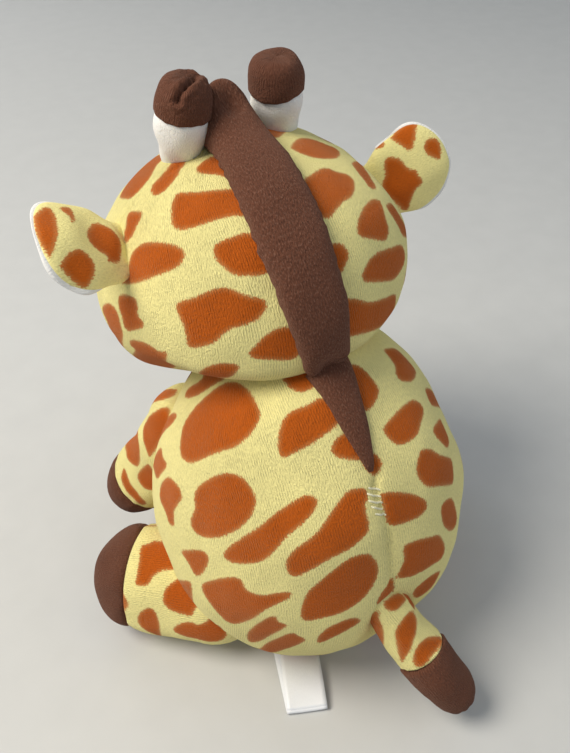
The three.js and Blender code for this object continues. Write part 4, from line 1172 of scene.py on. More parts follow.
def mane_head_surface():
    """The strip over the head, from its round bump to the crease at the neck."""
    share = np.linspace(0, 1, MANE_HEAD_ROWS)
    place, out = mane_place(share)
    taper = mix(MANE_TOP_WIDTH, MANE_NECK_WIDTH, share)
    width = mix(taper, MANE_FULL_WIDTH, np.sin(math.pi * np.minimum(1, share + MANE_WIDEST_SHIFT)))
    height = MANE_HEIGHT * mix(1, MANE_NECK_SHARE, ease((share - MANE_FLAT_FROM) / MANE_FLAT_RUN))
    height = height + MANE_BUMP * bell(share, MANE_BUMP_SHARE)
    start_gap = (1 - share / MANE_ROUND).clip(0, 1)
    end_gap = ((share - MANE_CLOSE) / (1 - MANE_CLOSE)).clip(0, 1)
    round_end = np.sqrt(np.clip(1 - start_gap**2, MANE_LEAST, 1))
    close = np.sqrt(np.clip(1 - end_gap**2, MANE_LEAST, 1))
    width = width * (MANE_ROUND_WIDTH + (1 - MANE_ROUND_WIDTH) * round_end)
    height = height * np.minimum(round_end, close)
    square = mix(1.0, MANE_SQUARE, ease(share / MANE_SQUARE_RUN))
    surface = strip_surface(place, out, width / 2, height, square, MANE_SEED)
    places, tree, hollow = surface.points, surface.tree(), 0
    for pixel, wide, deep in MANE_HOLLOWS:
        hollow = hollow + deep * bell(gap_to(places, trace([tree], pixel)[0]), wide)
    from_edge = np.abs(surface.across) - surface.across.max() * MANE_EDGE_SHARE
    edge = MANE_EDGE_HEIGHT * bell(from_edge, MANE_EDGE_WIDTH)[:, :-1]
    wrinkle = edge * waves(places, MANE_EDGE_LENGTH, MANE_EDGE_SEED)
    surface.relax(np.broadcast_to(bell(height, MANE_END_HELD)[:, None], edge.shape), MANE_PUFF)
    surface.swell(wrinkle - hollow)
    tilt = math.radians(MANE_CREASE_ANGLE)
    upright = np.array([0.0, -math.sin(tilt), math.cos(tilt)])
    below = np.minimum(0, (surface.points - NECK_PIVOT) @ upright)
    surface.points = surface.points - below[..., None] * upright * MANE_CREASE_SHARE
    return surface


def mane_back_surface():
    """The strip down the back, which narrows to its tip."""
    share = np.linspace(0, 1, MANE_BACK_ROWS)
    height = mix(*MANE_BACK_HEIGHTS, share)
    place = on_body(height, np.full(MANE_BACK_ROWS, math.pi))
    tangent = unit(np.gradient(place, axis=0))
    out = unit(np.cross((1.0, 0.0, 0.0), tangent))
    out = out * np.sign(out[:, 2:])
    place[:, 0] = MANE_BACK_DRIFT * (1 - share)
    width = mix(MANE_NECK_WIDTH + MANE_BACK_WIDER, MANE_TIP_WIDTH, share**MANE_BACK_POWER)
    end = np.sqrt(np.clip((1 - share) * MANE_BACK_END_RUN, MANE_LEAST, 1))
    tall = mix(MANE_HEIGHT, MANE_BACK_TIP, share) * end
    return strip_surface(place, out, width / 2, tall, MANE_SQUARE, MANE_BACK_SEED)


# Materials


class Nodes:
    """A short way to write a material's nodes."""

    def __init__(self, name):
        self.material = bpy.data.materials.new(name)
        self.material.use_nodes = True
        self.tree = self.material.node_tree
        self.shader = self.tree.nodes["Principled BSDF"]

    def add(self, kind, inputs=None, output=0, **settings):
        node = self.tree.nodes.new(kind)
        for key, value in settings.items():
            setattr(node, key, value)
        for socket, value in (inputs or {}).items():
            self.put(node.inputs[socket], value)
        return node.outputs[output]

    def put(self, socket, value):
        if isinstance(value, bpy.types.NodeSocket):
            self.tree.links.new(value, socket)
        else:
            socket.default_value = value

    def math(self, operation, *values):
        return self.add("ShaderNodeMath", dict(enumerate(values)), operation=operation)

    def noise(self, vector, scale, detail, roughness=0.5):
        inputs = {"Vector": vector, "Scale": scale, "Detail": detail, "Roughness": roughness}
        return self.add("ShaderNodeTexNoise", inputs)

    def range(self, value, low, high, to_low, to_high, smooth=False):
        inputs = {"Value": value, 1: low, 2: high, 3: to_low, 4: to_high}
        kind = "SMOOTHSTEP" if smooth else "LINEAR"
        return self.add("ShaderNodeMapRange", inputs, interpolation_type=kind)

    def blend(self, share, first, second):
        inputs = {0: share, 6: first, 7: second}
        return self.add("ShaderNodeMix", inputs, output=2, data_type="RGBA")

    def attribute(self, name):
        return self.add("ShaderNodeAttribute", output=2, attribute_name=name)

    def place(self):
        return self.add("ShaderNodeTexCoord", output=3)

    def scaled(self, colour, value):
        return self.add("ShaderNodeHueSaturation", {"Value": value, "Color": colour})

    def finish(self, colour, roughness, height, distance, **shader):
        self.put(self.shader.inputs["Base Color"], colour)
        self.put(self.shader.inputs["Roughness"], roughness)
        bump = {"Height": height, "Strength": 1.0, "Distance": distance}
        self.put(self.shader.inputs["Normal"], self.add("ShaderNodeBump", bump))
        for socket, value in shader.items():
            self.shader.inputs[socket.replace("_", " ")].default_value = value
        return self.material


def opaque(colour):
    return (*colour, 1.0)


WOBBLE, LOOP_LEAN, LOOP_SHARE, KNIT_HEIGHT = 0.9, 0.7, 0.3, 0.38
COMBED = (1.0, 0.45, 1.0)
STROKE_SCALE, FIBRE_SCALE, TIP_SCALE, WOBBLE_SCALE = 2.1, 3.7, 2.6, 0.6
PATCH_SCALE, PATCH_SHARE, SHOWING_SCALE = 42.0, 0.2, 210.0
STROKE_FUZZ, FIBRE_FUZZ, RIM_REACH, RIM_SHARE, RIM_PALE = 0.32, 0.22, 1.8, 0.4, 0.3
FIBRE_SHARE, STROKE_HEIGHT, FIBRE_HEIGHT, LINE_HEIGHT = 0.6, 0.35, 0.2, 0.3
TIP_POWER, TINT_POWER = 0.72, 0.5
PILE_ROUGHNESS = (0.84, 0.97)
# The span of each noise that counts, and for the lines of the knit also how much of them shows
PILE_READ, TIP_READ, LINES_READ = (0.34, 0.66), (0.52, 0.7), (0.4, 0.6, 0.1, 1.0)
PILE_GRAIN = 0.6


def knit_height(nodes, across, along, wobble):
    """The lines of the knit and the loops in them, as a height between about 0 and 1."""
    wale, course = millimetres("wale"), millimetres("course")
    warped = nodes.math("MULTIPLY_ADD", wobble, wale * WOBBLE, across)
    line = nodes.math("SINE", nodes.math("MULTIPLY", warped, FULL_TURN / wale))
    lean = nodes.math("ABSOLUTE", nodes.math("SINE", nodes.math("MULTIPLY", warped, FULL_TURN / wale / 2)))
    lifted = nodes.math("MULTIPLY_ADD", lean, course * LOOP_LEAN, along)
    loop = nodes.math("SINE", nodes.math("MULTIPLY", lifted, FULL_TURN / course))
    both = nodes.math("MULTIPLY_ADD", loop, LOOP_SHARE, line)
    return nodes.math("MULTIPLY_ADD", both, KNIT_HEIGHT, 0.5)


def plush(name, ground, spot=None, *, knit, pile, tips=0.0, sheen=0.3, nap=0.0003):
    """Short plush on a knitted back: strokes of pile over faint broken knit lines, with printed spots,
    paler at their fuzzy rims, or with lighter fibre tips where it has them."""
    nodes = Nodes(name)
    across, along = nodes.attribute("across"), nodes.attribute("along")
    surface = nodes.add("ShaderNodeCombineXYZ", {0: across, 1: along})
    combed = nodes.add("ShaderNodeVectorMath", {0: surface, 1: COMBED}, operation="MULTIPLY")
    strokes = nodes.range(nodes.noise(combed, STROKE_SCALE, 2.0, PILE_GRAIN), *PILE_READ, -1.0, 1.0)
    fibres = nodes.range(nodes.noise(combed, FIBRE_SCALE, 2.0, PILE_GRAIN), *PILE_READ, -1.0, 1.0)
    place = nodes.place()
    patches = nodes.math("SUBTRACT", nodes.noise(place, PATCH_SCALE, 2.0), 0.5)
    showing = nodes.range(nodes.noise(place, SHOWING_SCALE, 3.0), *LINES_READ)
    knitted = knit_height(nodes, across, along, nodes.noise(surface, WOBBLE_SCALE, 3.0))
    lines = nodes.math("MULTIPLY", nodes.math("SUBTRACT", knitted, 0.5), showing)
    colour = opaque(ground)
    if spot is not None:
        edge = millimetres("spot_edge")
        fuzz = nodes.math("MULTIPLY_ADD", strokes, STROKE_FUZZ, nodes.math("MULTIPLY", fibres, FIBRE_FUZZ))
        ragged = nodes.math("ADD", fuzz, nodes.attribute("patch"))
        rim = nodes.range(ragged, 0.0, RIM_REACH, RIM_SHARE, 0.0, smooth=True)
        pale_rim = opaque(tuple(mix(dark, light, RIM_PALE) for dark, light in zip(spot, ground)))
        printed = nodes.blend(rim, opaque(spot), pale_rim)
        share = nodes.range(ragged, -edge, edge, 0.0, 1.0, smooth=True)
        colour = nodes.blend(share, colour, printed)
    if tips:
        speckle = nodes.range(nodes.noise(combed, TIP_SCALE, 1.0), *TIP_READ, 0.0, tips)
        colour = nodes.blend(speckle, colour, opaque(tuple(value**TIP_POWER for value in ground)))
    shade = nodes.math("MULTIPLY_ADD", lines, knit, 1.0)
    shade = nodes.math("MULTIPLY_ADD", strokes, pile, shade)
    shade = nodes.math("MULTIPLY_ADD", fibres, pile * FIBRE_SHARE, shade)
    shade = nodes.math("MULTIPLY_ADD", patches, PATCH_SHARE, shade)
    height = nodes.math("MULTIPLY", lines, LINE_HEIGHT + knit)
    height = nodes.math("MULTIPLY_ADD", strokes, STROKE_HEIGHT, height)
    height = nodes.math("MULTIPLY_ADD", fibres, FIBRE_HEIGHT, height)
    roughness = nodes.range(fibres, -1.0, 1.0, *PILE_ROUGHNESS)
    tint = opaque(tuple(value**TINT_POWER for value in ground))
    return nodes.finish(
        nodes.scaled(colour, shade), roughness, height, nap,
        Sheen_Weight=sheen, Sheen_Roughness=0.4, Sheen_Tint=tint, Specular_IOR_Level=0.15,
    )


# Each plush: its name, the colours of its ground and its spots, and its finish
PLUSHES = {
    "spotted": ("Spotted plush", ("ground", "spot"), {"knit": 0.34, "pile": 0.085, "sheen": 0.2}),
    "brushed": (
        "Brushed spotted plush", ("ground", "spot"),
        {"knit": 0.06, "pile": 0.06, "sheen": 0.2, "nap": 0.00014},
    ),
    "brown": ("Brown plush", ("brown",), {"knit": 0.45, "pile": 0.14, "tips": 0.25, "sheen": 0.4}),
    "mane": ("Mane plush", ("brown",), {"knit": 0.05, "pile": 0.2, "tips": 0.6, "sheen": 0.45}),
    "cream": ("Cream plush", ("cream",), {"knit": 0.03, "pile": 0.03, "nap": 0.00015}),
    "white": ("White plush", ("white",), {"knit": 0.0, "pile": 0.02, "sheen": 0.2, "nap": 0.00012}),
}
PALE_THREAD_SHARE = 0.4


@lru_cache(maxsize=None)
def material(kind):
    shade = colours()
    if kind in PLUSHES:
        name, inks, finish = PLUSHES[kind]
        return plush(name, *(tuple(getattr(shade, ink)) for ink in inks), **finish)
    if kind == "eye":
        return glossy_eye(tuple(shade.eye))
    if kind == "label":
        return satin(tuple(shade.label))
    if kind == "thread":
        return twisted_thread("Brown thread", tuple(shade.thread))
    if kind == "pale thread":
        pale = tuple(mix(value, 1.0, PALE_THREAD_SHARE) for value in shade.ground)
        return twisted_thread("Pale thread", pale)
    return moulded_plastic()


GRAIN_READ = (0.3, 0.7)
SMUDGE_SCALE, SMUDGE_READ = 260.0, (0.35, 0.7)
EYE_SHADES, EYE_ROUGHNESS = (0.8, 1.3), (0.04, 0.12)
WEAVE_SCALE, WEAVE_STRETCH, WEAVE_SHADE = 5200.0, (0.25, 1.0, 1.0), 0.12
SATIN_PATCH_SCALE, SATIN_PATCH_SHADE, SATIN_ROUGHNESS = 90.0, 0.1, (0.3, 0.45)
TWIST_LEAN, TWIST_LENGTH, TWIST_SHADE, TWIST_HEIGHT = 1.6, 0.9, 0.16, 0.5
FLUFF_SCALE, THREAD_ROUGHNESS = 2600.0, (0.6, 0.8)
PLASTIC_COLOUR, PLASTIC_GRAIN_SCALE = (0.75, 0.77, 0.78), 900.0
PLASTIC_SHADES, PLASTIC_ROUGHNESS = (0.95, 1.05), (0.35, 0.5)


def glossy_eye(colour):
    nodes = Nodes("Glossy eye")
    smudge = nodes.noise(nodes.place(), SMUDGE_SCALE, 3.0)
    tinted = nodes.scaled(opaque(colour), nodes.range(smudge, *GRAIN_READ, *EYE_SHADES))
    roughness = nodes.range(smudge, *SMUDGE_READ, *EYE_ROUGHNESS)
    return nodes.finish(tinted, roughness, smudge, 0.00001, Coat_Weight=0.6, Coat_Roughness=0.05)


def satin(colour):
    nodes = Nodes("Satin label")
    place = nodes.place()
    turned = nodes.add(
        "ShaderNodeVectorRotate",
        {"Vector": place, "Angle": math.radians(-LABEL_HEADING)}, rotation_type="Z_AXIS",
    )
    stretched = nodes.add("ShaderNodeVectorMath", {0: turned, 1: WEAVE_STRETCH}, operation="MULTIPLY")
    weave = nodes.noise(stretched, WEAVE_SCALE, 2.0)
    soft = nodes.noise(place, SATIN_PATCH_SCALE, 2.0)
    shade = nodes.math("MULTIPLY_ADD", nodes.math("SUBTRACT", weave, 0.5), WEAVE_SHADE, 1.0)
    shade = nodes.math("MULTIPLY_ADD", nodes.math("SUBTRACT", soft, 0.5), SATIN_PATCH_SHADE, shade)
    roughness = nodes.range(weave, *GRAIN_READ, *SATIN_ROUGHNESS)
    return nodes.finish(
        nodes.scaled(opaque(colour), shade), roughness, weave, 0.00004,
        Sheen_Weight=0.15, Anisotropic=0.4,
    )


def twisted_thread(name, colour):
    nodes = Nodes(name)
    across, along = nodes.attribute("across"), nodes.attribute("along")
    turned = nodes.math("MULTIPLY_ADD", along, TWIST_LEAN, across)
    twist = nodes.math("SINE", nodes.math("MULTIPLY", turned, FULL_TURN / TWIST_LENGTH))
    fluff = nodes.noise(nodes.place(), FLUFF_SCALE, 2.0)
    height = nodes.math("MULTIPLY_ADD", twist, TWIST_HEIGHT, fluff)
    shade = nodes.math("MULTIPLY_ADD", twist, TWIST_SHADE, 1.0)
    roughness = nodes.range(fluff, *GRAIN_READ, *THREAD_ROUGHNESS)
    return nodes.finish(nodes.scaled(opaque(colour), shade), roughness, height, 0.00012, Sheen_Weight=0.3)


def moulded_plastic():
    nodes = Nodes("Moulded plastic")
    grain = nodes.noise(nodes.place(), PLASTIC_GRAIN_SCALE, 3.0)
    colour = nodes.scaled(opaque(PLASTIC_COLOUR), nodes.range(grain, *GRAIN_READ, *PLASTIC_SHADES))
    return nodes.finish(colour, nodes.range(grain, *GRAIN_READ, *PLASTIC_ROUGHNESS), grain, 0.00002)


# Pieces


MUZZLE_MARGIN, MUZZLE_CLEAR_SCALE = 6, 14


def make_body():
    surface, leg = body_surface(), limb_pieces("leg")[1]["sleeve"]
    patch = spotted(surface, BODY_SPOTS + SIDE_SPOTS, [surface.tree(), leg.tree()], BODY_SPOT_SEED)
    make_piece(
        "body_plush", surface, material("spotted"), "body",
        ("body_cover", "body_stuffing", "pellet_bag"), patch,
    )


def make_head():
    surface = head_surface()
    patch = spotted(surface, HEAD_SPOTS, [surface.tree()], HEAD_SPOT_SEED)
    places = surface.vertices()
    clear = gap_to((places - MUZZLE_CENTRE) / (MUZZLE_HALVES + MUZZLE_MARGIN), 0)
    patch = np.minimum(patch, (clear - 1) * MUZZLE_CLEAR_SCALE)
    for side, word in SIDES:
        eye = on_head(side * EYE_AROUND, EYE_UP)[0]
        patch = np.minimum(patch, gap_to(places, eye) - EYE_CLEAR)
        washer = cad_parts[f"eye_washer_{word}"].data.materials
        washer.clear()
        washer.append(material("plastic"))
    make_piece(
        "head_plush", surface, material("spotted"), "head",
        ("head_cover", "head_stuffing"), patch,
    )


def make_muzzle():
    make_piece(
        "muzzle_plush", muzzle_surface(), material("cream"), "head",
        ("muzzle_cover", "muzzle_stuffing"),
    )


@lru_cache(maxsize=None)
def limb_pieces(kind):
    """The surfaces of a limb's two parts, by side; the tail has one side."""
    pieces = {}
    for side in (1, -1) if kind != "tail" else (1,):
        parts = {}
        for part, wrinkle in (("sleeve", SLEEVE_WRINKLE), ("end", LIMBS[kind][2])):
            surface = limb_surface(kind, part, LIMB_SEED + LIMB_SEED_STEP * side, wrinkle)
            parts[part] = surface.mirrored() if side < 0 else surface
        pieces[side] = parts
    return pieces


def make_limb(kind, side, body, end, outlines, more_trees=()):
    """A limb's sleeve and its end piece, which ride on the body of the same name."""
    sleeve, tip = limb_pieces(kind)[side]["sleeve"], limb_pieces(kind)[side]["end"]
    seed = LIMB_SPOT_SEED + side + len(body)
    patch = spotted(sleeve, outlines, [sleeve.tree(), *more_trees], seed, bool(outlines))
    make_piece(
        f"{body}_sleeve_plush", sleeve, material("spotted"), body,
        (f"{body}_sleeve", f"{body}_stuffing"), patch,
    )
    make_piece(
        f"{body}_{end}_plush", tip, material("brown"), body, (f"{body}_{end}",)
    )


def make_arms():
    for side, word in SIDES:
        make_limb("arm", side, f"arm_{word}", "hoof", ARM_SPOTS if side > 0 else ())


def make_legs():
    for side, word in SIDES:
        outlines = SIDE_SPOTS + LEG_SPOTS if side > 0 else ()
        make_limb("leg", side, f"leg_{word}", "hoof", outlines, [body_surface().tree()])


def make_tail():
    make_limb("tail", 1, "tail", "tip", TAIL_SPOTS)


def make_horns():
    for side, word in SIDES:
        make_piece(
            f"horn_stalk_{word}_plush", horn_surface(side, "stalk"), material("white"), "head",
            (f"horn_stalk_{word}",),
        )
        make_piece(
            f"horn_cap_{word}_plush", horn_surface(side, "cap"), material("brown"), "head",
            (f"horn_cap_{word}", f"horn_stuffing_{word}"),
        )


def make_ears():
    for side, word in SIDES:
        back, lining = ear_surface(side, "back"), ear_surface(side, "lining")
        patch = spotted(back, EAR_SPOTS[side], [back.tree()])
        make_piece(
            f"ear_back_{word}_plush", back, material("brushed"), f"ear_{word}",
            (f"ear_back_{word}",), patch,
        )
        make_piece(
            f"ear_lining_{word}_plush", lining, material("white"), f"ear_{word}",
            (f"ear_lining_{word}",),
        )


def make_mane():
    """Both strips. The back's strip is baked in place and rides on no body, so it follows neither the body
    nor the head.
    """
    back = mane_back_surface()
    middle = back.points.mean(axis=1)
    low, high = (round(share * (MANE_BACK_ROWS - 1)) for share in MANE_BACK_BEND)
    make_piece(
        "mane_head_plush", mane_head_surface(), material("mane"), "head",
        ("mane_head",),
    )
    make_piece(
        "mane_back_plush", back, material("mane"), "body",
        ("mane_back",), bend=("head", middle[low], middle[high]),
    )


def disc_surface(profile, columns, point, out, halves=(1.0, 1.0), slant=0.0):
    """A round piece from a profile of (radius, height) points, set on a point with its way out.
    Its halves make it an oval, and its slant leans it sideways."""
    angle = np.linspace(0, FULL_TURN, columns + 1)
    radius, height = np.array(profile).T
    level, upward = np.outer(radius, np.cos(angle)), np.outer(radius, np.sin(angle))
    east, north = across_of(out)
    points = point + (level + upward * slant)[..., None] * halves[0] * east
    points = points + upward[..., None] * halves[1] * north + height[:, None, None] * out
    return wrapped(points, level, upward)


EYE_COLUMNS, EYE_DOME_ROWS = 64, 16
EYE_FOOT_SHARE, EYE_FOOT, EYE_BEVEL, EYE_WALL = 0.8, -1.6, -0.6, 0.4


def make_eyes():
    rise = EYE_DOME - EYE_RIM
    profile = [(POLE_RADIUS, EYE_FOOT), (EYE_RADIUS * EYE_FOOT_SHARE, EYE_FOOT)]
    profile += [(EYE_RADIUS, EYE_BEVEL), (EYE_RADIUS, EYE_RIM - EYE_WALL)]
    for turn in np.linspace(0, math.pi / 2, EYE_DOME_ROWS):
        profile.append((EYE_RADIUS * math.cos(turn), EYE_RIM + rise * math.sin(turn)))
    profile[-1] = (POLE_RADIUS, profile[-1][1])
    for side, word in SIDES:
        surface = disc_surface(profile, EYE_COLUMNS, *on_head(side * EYE_AROUND, EYE_UP))
        make_piece(
            f"eye_{word}_dome", surface, material("eye"), "head", (f"eye_{word}",)
        )


THREAD_COLUMNS = 12
THREAD_ASIDE = (0.13, 0.21, 0.97)


def thread_surface(path, radius):
    tangent = unit(np.gradient(path, axis=0))
    side = unit(np.cross(tangent, THREAD_ASIDE))
    angle = np.linspace(0, FULL_TURN, THREAD_COLUMNS + 1)
    points = rings(path, side, np.cross(tangent, side), radius, angle)
    return wrapped(points, angle * radius, lengths_along(path))


MOUTH_STITCH_POINTS, MOUTH_THICKER = 60, 1.6
NOSTRIL_AROUND, NOSTRIL_UP = 17.0, 24.0
NOSTRIL_HALVES, NOSTRIL_SLANT, NOSTRIL_HEIGHT = (2.2, 1.3), 0.35, 0.55
NOSTRIL_COLUMNS, NOSTRIL_ROWS, NOSTRIL_POLE = 36, 9, 0.02
NOSTRIL_FOOT, NOSTRIL_FOOT_RADIUS = -0.8, 0.9


def make_face():
    radius = millimetres("thread") / 2
    mouth = thread_surface(mouth_path(MOUTH_STITCH_POINTS), radius * MOUTH_THICKER)
    make_piece("mouth_stitch", mouth, material("thread"), "head")
    profile = [(NOSTRIL_POLE, NOSTRIL_FOOT), (NOSTRIL_FOOT_RADIUS, NOSTRIL_FOOT), (1.0, 0.0)]
    for turn in np.linspace(0, math.pi / 2, NOSTRIL_ROWS)[1:-1]:
        profile.append((math.cos(turn), NOSTRIL_HEIGHT * math.sin(turn)))
    profile.append((NOSTRIL_POLE, NOSTRIL_HEIGHT))
    for side, word in SIDES:
        point, out = on_muzzle(side * NOSTRIL_AROUND, NOSTRIL_UP)
        slant = NOSTRIL_SLANT * side
        surface = disc_surface(profile, NOSTRIL_COLUMNS, point, out, NOSTRIL_HALVES, slant)
        make_piece(f"nostril_{word}_stitch", surface, material("thread"), "head")


STITCH_PIXELS = (
    ((368, 488), (380, 490)), ((367, 494), (381, 497)), ((368, 501), (382, 503)),
    ((371, 507), (383, 509)), ((375, 514), (386, 515)),
)
STITCH_POINTS, STITCH_LIFT, STITCH_SINK = 15, 0.5, 0.35


def make_closing_stitches():
    """Hand stitches that close the back seam."""
    tree = body_surface().tree()
    radius = millimetres("thread") / 2
    share = np.linspace(0, 1, STITCH_POINTS)[:, None]
    lift = np.sin(share * math.pi) ** 0.5 * STITCH_LIFT - STITCH_SINK
    for number, (start, end) in enumerate(STITCH_PIXELS, 1):
        first, (second, facing) = trace([tree], start)[0], trace([tree], end)
        path = np.array([np.array(tree.find_nearest(place)[0]) for place in mix(first, second, share)])
        make_piece(
            f"closing_stitch_{number}", thread_surface(path + lift * facing, radius),
            material("pale thread"), "body",
        )


LABEL_ROWS, LABEL_COLUMNS, LABEL_BEND_ROWS = 39, 10, 12
LABEL_LOOP, LABEL_SHORTER, LABEL_SAG, LABEL_RISE, LABEL_RISE_FROM = 0.75, 1.2, 0.25, 1.6, 0.25
LABEL_SWAY, LABEL_CURL, LABEL_THICKNESS = 3.2, 0.5, 0.3


def make_label():
    """A blank ribbon folded into a loop, sewn in under the body."""
    heading = math.radians(LABEL_HEADING)
    ahead = np.array([math.cos(heading), math.sin(heading), 0.0])
    aside = np.array([math.sin(heading), -math.cos(heading), 0.0])
    root = np.array([*LABEL_ROOT, 0.0])
    straight = LABEL_LENGTH - LABEL_SHORTER
    under = np.linspace(0, straight, LABEL_ROWS)
    share = under / LABEL_LENGTH
    bend = np.linspace(-math.pi / 2, math.pi / 2, LABEL_BEND_ROWS)
    reach = np.concatenate([under, straight + LABEL_LOOP * np.cos(bend), under[::-1]])
    low = LABEL_LIFT + LABEL_SAG * np.sin(share * math.pi)
    rise = np.clip(share - LABEL_RISE_FROM, 0, 1) / (1 - LABEL_RISE_FROM)
    high = LABEL_LIFT + 2 * LABEL_LOOP + LABEL_RISE * np.sin(rise * math.pi)
    height = np.concatenate([low, LABEL_LIFT + LABEL_LOOP + LABEL_LOOP * np.sin(bend), high[::-1]])
    sway = np.zeros(len(reach))
    sway[:LABEL_ROWS] = -LABEL_SWAY * (1 - share)
    side = np.linspace(-LABEL_WIDTH / 2, LABEL_WIDTH / 2, LABEL_COLUMNS)
    curl = LABEL_CURL * (side / (LABEL_WIDTH / 2)) ** 2
    lifted = height[:, None] + curl * ease(reach / LABEL_LENGTH)[:, None]
    points = root + reach[:, None, None] * ahead + (side[None, :, None] - sway[:, None, None]) * aside
    points = points + lifted[..., None] * np.array(UPWARD)
    rows, columns = points.shape[:2]
    row, column = np.meshgrid(np.arange(rows - 1), np.arange(columns - 1), indexing="ij")
    first = row * columns + column
    faces = np.stack([first, first + 1, first + columns + 1, first + columns], -1).reshape(-1, 4)
    mesh = bpy.data.meshes.new("label_ribbon")
    mesh.from_pydata((points.reshape(-1, 3) * METRE).tolist(), [], faces.tolist())
    mesh.shade_smooth()
    ribbon = bpy.data.objects.new("label_ribbon", mesh)
    settle(ribbon, material("label"), "body", ("label",))
    thicken = ribbon.modifiers.new("Ribbon thickness", "SOLIDIFY")
    thicken.thickness = LABEL_THICKNESS * METRE
    thicken.offset = 0


# Stage

LIGHTS = (
    ("Key", (0.55, -0.12, 0.86), 0.5, 9.2, (1.0, 0.95, 0.85)),
    ("Fill", (-0.75, 0.55, 0.55), 0.9, 1.6, (0.88, 0.94, 1.0)),
    ("Front", (0.1, -1.0, 0.5), 0.8, 1.6, (1.0, 0.98, 0.95)),
)
WORLD_LIGHT = (0.82, 0.9, 0.98, 1.0)
WORLD_STRENGTH = 0.38
FLOOR_HALF, FLOOR_GRAIN_SCALE = 9.0, 60.0
FLOOR_SHADES, FLOOR_ROUGHNESS = (0.98, 1.02), (0.7, 0.8)
LIT_PLACE = np.array([0.0, 0.0, 0.09])
NEAREST_SEEN = 0.01


def make_stage():
    points = [(x * FLOOR_HALF, y * FLOOR_HALF, 0) for x, y in ((-1, -1), (1, -1), (1, 1), (-1, 1))]
    mesh = bpy.data.meshes.new("floor")
    mesh.from_pydata(points, [], [(0, 1, 2, 3)])
    floor = bpy.data.objects.new("floor", mesh)
    bpy.context.scene.collection.objects.link(floor)
    nodes = Nodes("Pale floor")
    grain = nodes.noise(nodes.place(), FLOOR_GRAIN_SCALE, 4.0)
    shade = nodes.scaled(opaque(tuple(colours().floor)), nodes.range(grain, *GRAIN_READ, *FLOOR_SHADES))
    roughness = nodes.range(grain, *GRAIN_READ, *FLOOR_ROUGHNESS)
    mesh.materials.append(nodes.finish(shade, roughness, grain, 0.00005))
    for name, place, size, power, colour in LIGHTS:
        light = bpy.data.lights.new(name, "AREA")
        light.shape = "DISK"
        light.size = size
        light.energy = power
        light.color = colour
        lamp = bpy.data.objects.new(name, light)
        bpy.context.scene.collection.objects.link(lamp)
        lamp.matrix_world = looking(np.array(place), LIT_PLACE)
    world = bpy.data.worlds.new("Soft light")
    world.use_nodes = True
    background = world.node_tree.nodes["Background"]
    background.inputs["Color"].default_value = WORLD_LIGHT
    background.inputs["Strength"].default_value = WORLD_STRENGTH
    bpy.context.scene.world = world
    bpy.context.scene.view_settings.view_transform = "Standard"
    camera = bpy.data.cameras.new("Camera")
    camera.sensor_width = SENSOR
    camera.lens = PICTURE_FOCUS * SENSOR / PICTURE_LONG_SIDE
    camera.clip_start = NEAREST_SEEN
    viewer = bpy.data.objects.new("Camera", camera)
    bpy.context.scene.collection.objects.link(viewer)
    viewer.matrix_world = placed(CAMERA_PLACE * METRE, CAMERA_RIGHT, -CAMERA_DOWN, -CAMERA_FORWARD)
    bpy.context.scene.camera = viewer


def placed(place, right, up, back):
    matrix = np.eye(4)
    matrix[:3, 0], matrix[:3, 1], matrix[:3, 2], matrix[:3, 3] = right, up, back, place
    return Matrix(matrix.tolist())


def looking(place, target):
    back = unit(place - target)
    return placed(place, *across_of(back), back)


# Operators


class GIRAFFE_OT_stage(bpy.types.Operator):
    """Lay the floor and set the lights and the camera"""

    bl_idname = "giraffe.stage"
    bl_label = "Stage"

    def execute(self, context):
        make_stage()
        return {"FINISHED"}


class GIRAFFE_OT_body(bpy.types.Operator):
    """Build the stuffed body with its spots and its back seam"""

    bl_idname = "giraffe.body"
    bl_label = "Body"

    def execute(self, context):
        make_body()
        return {"FINISHED"}


class GIRAFFE_OT_head(bpy.types.Operator):
    """Build the stuffed head with its spots"""

    bl_idname = "giraffe.head"
    bl_label = "Head"

    def execute(self, context):
        make_head()
        return {"FINISHED"}


class GIRAFFE_OT_muzzle(bpy.types.Operator):
    """Build the cream muzzle"""

    bl_idname = "giraffe.muzzle"
    bl_label = "Muzzle"

    def execute(self, context):
        make_muzzle()
        return {"FINISHED"}


class GIRAFFE_OT_arms(bpy.types.Operator):
    """Build both arms with their brown hooves"""

    bl_idname = "giraffe.arms"
    bl_label = "Arms"

    def execute(self, context):
        make_arms()
        return {"FINISHED"}


class GIRAFFE_OT_legs(bpy.types.Operator):
    """Build both legs with their brown hooves"""

    bl_idname = "giraffe.legs"
    bl_label = "Legs"

    def execute(self, context):
        make_legs()
        return {"FINISHED"}


class GIRAFFE_OT_tail(bpy.types.Operator):
    """Build the tail with its brown tip"""

    bl_idname = "giraffe.tail"
    bl_label = "Tail"

    def execute(self, context):
        make_tail()
        return {"FINISHED"}


class GIRAFFE_OT_horns(bpy.types.Operator):
    """Build both horns with their brown caps"""

    bl_idname = "giraffe.horns"
    bl_label = "Horns"

    def execute(self, context):
        make_horns()
        return {"FINISHED"}


class GIRAFFE_OT_ears(bpy.types.Operator):
    """Build both ears with their white lining"""

    bl_idname = "giraffe.ears"
    bl_label = "Ears"

    def execute(self, context):
        make_ears()
        return {"FINISHED"}


class GIRAFFE_OT_mane(bpy.types.Operator):
    """Build the brown mane on the head and the back"""

    bl_idname = "giraffe.mane"
    bl_label = "Mane"

    def execute(self, context):
        make_mane()
        return {"FINISHED"}


class GIRAFFE_OT_eyes(bpy.types.Operator):
    """Build the glossy eyes"""

    bl_idname = "giraffe.eyes"
    bl_label = "Eyes"

    def execute(self, context):
        make_eyes()
        return {"FINISHED"}


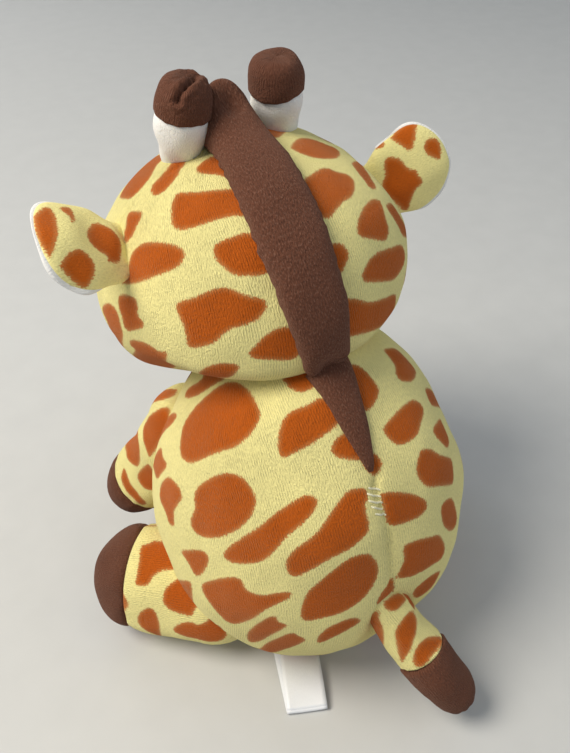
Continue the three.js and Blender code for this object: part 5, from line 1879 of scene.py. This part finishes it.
class GIRAFFE_OT_face(bpy.types.Operator):
    """Sew the mouth and the nostrils"""

    bl_idname = "giraffe.face"
    bl_label = "Face stitches"

    def execute(self, context):
        make_face()
        return {"FINISHED"}


class GIRAFFE_OT_stitches(bpy.types.Operator):
    """Sew the back seam closed"""

    bl_idname = "giraffe.stitches"
    bl_label = "Closing stitches"

    def execute(self, context):
        make_closing_stitches()
        return {"FINISHED"}


class GIRAFFE_OT_label(bpy.types.Operator):
    """Add the blank satin label"""

    bl_idname = "giraffe.label"
    bl_label = "Label"

    def execute(self, context):
        make_label()
        return {"FINISHED"}


OPERATORS = (
    GIRAFFE_OT_stage,
    GIRAFFE_OT_body,
    GIRAFFE_OT_head,
    GIRAFFE_OT_muzzle,
    GIRAFFE_OT_arms,
    GIRAFFE_OT_legs,
    GIRAFFE_OT_tail,
    GIRAFFE_OT_horns,
    GIRAFFE_OT_ears,
    GIRAFFE_OT_mane,
    GIRAFFE_OT_eyes,
    GIRAFFE_OT_face,
    GIRAFFE_OT_stitches,
    GIRAFFE_OT_label,
)


class GIRAFFE_PT_panel(bpy.types.Panel):
    """Sizes, colours and pieces of the plush giraffe"""

    bl_idname = "GIRAFFE_PT_panel"
    bl_label = "Plush giraffe"
    bl_space_type = "VIEW_3D"
    bl_region_type = "UI"
    bl_category = "Giraffe"

    def draw(self, context):
        for group in (context.scene.giraffe_sizes, context.scene.giraffe_colours):
            column = self.layout.column()
            for name in group.__annotations__:
                column.prop(group, name)
        column = self.layout.column()
        for operator in OPERATORS:
            column.operator(operator.bl_idname)


CLASSES = (GiraffeSizes, GiraffeColours, *OPERATORS, GIRAFFE_PT_panel)


def register():
    for item in CLASSES:
        bpy.utils.register_class(item)
    bpy.types.Scene.giraffe_sizes = bpy.props.PointerProperty(type=GiraffeSizes)
    bpy.types.Scene.giraffe_colours = bpy.props.PointerProperty(type=GiraffeColours)


def unregister():
    del bpy.types.Scene.giraffe_colours
    del bpy.types.Scene.giraffe_sizes
    for item in reversed(CLASSES):
        bpy.utils.unregister_class(item)


def main():
    register()
    for operator in OPERATORS:
        getattr(bpy.ops.giraffe, operator.bl_idname.split(".")[1])()


if __name__ == "__main__":
    main()
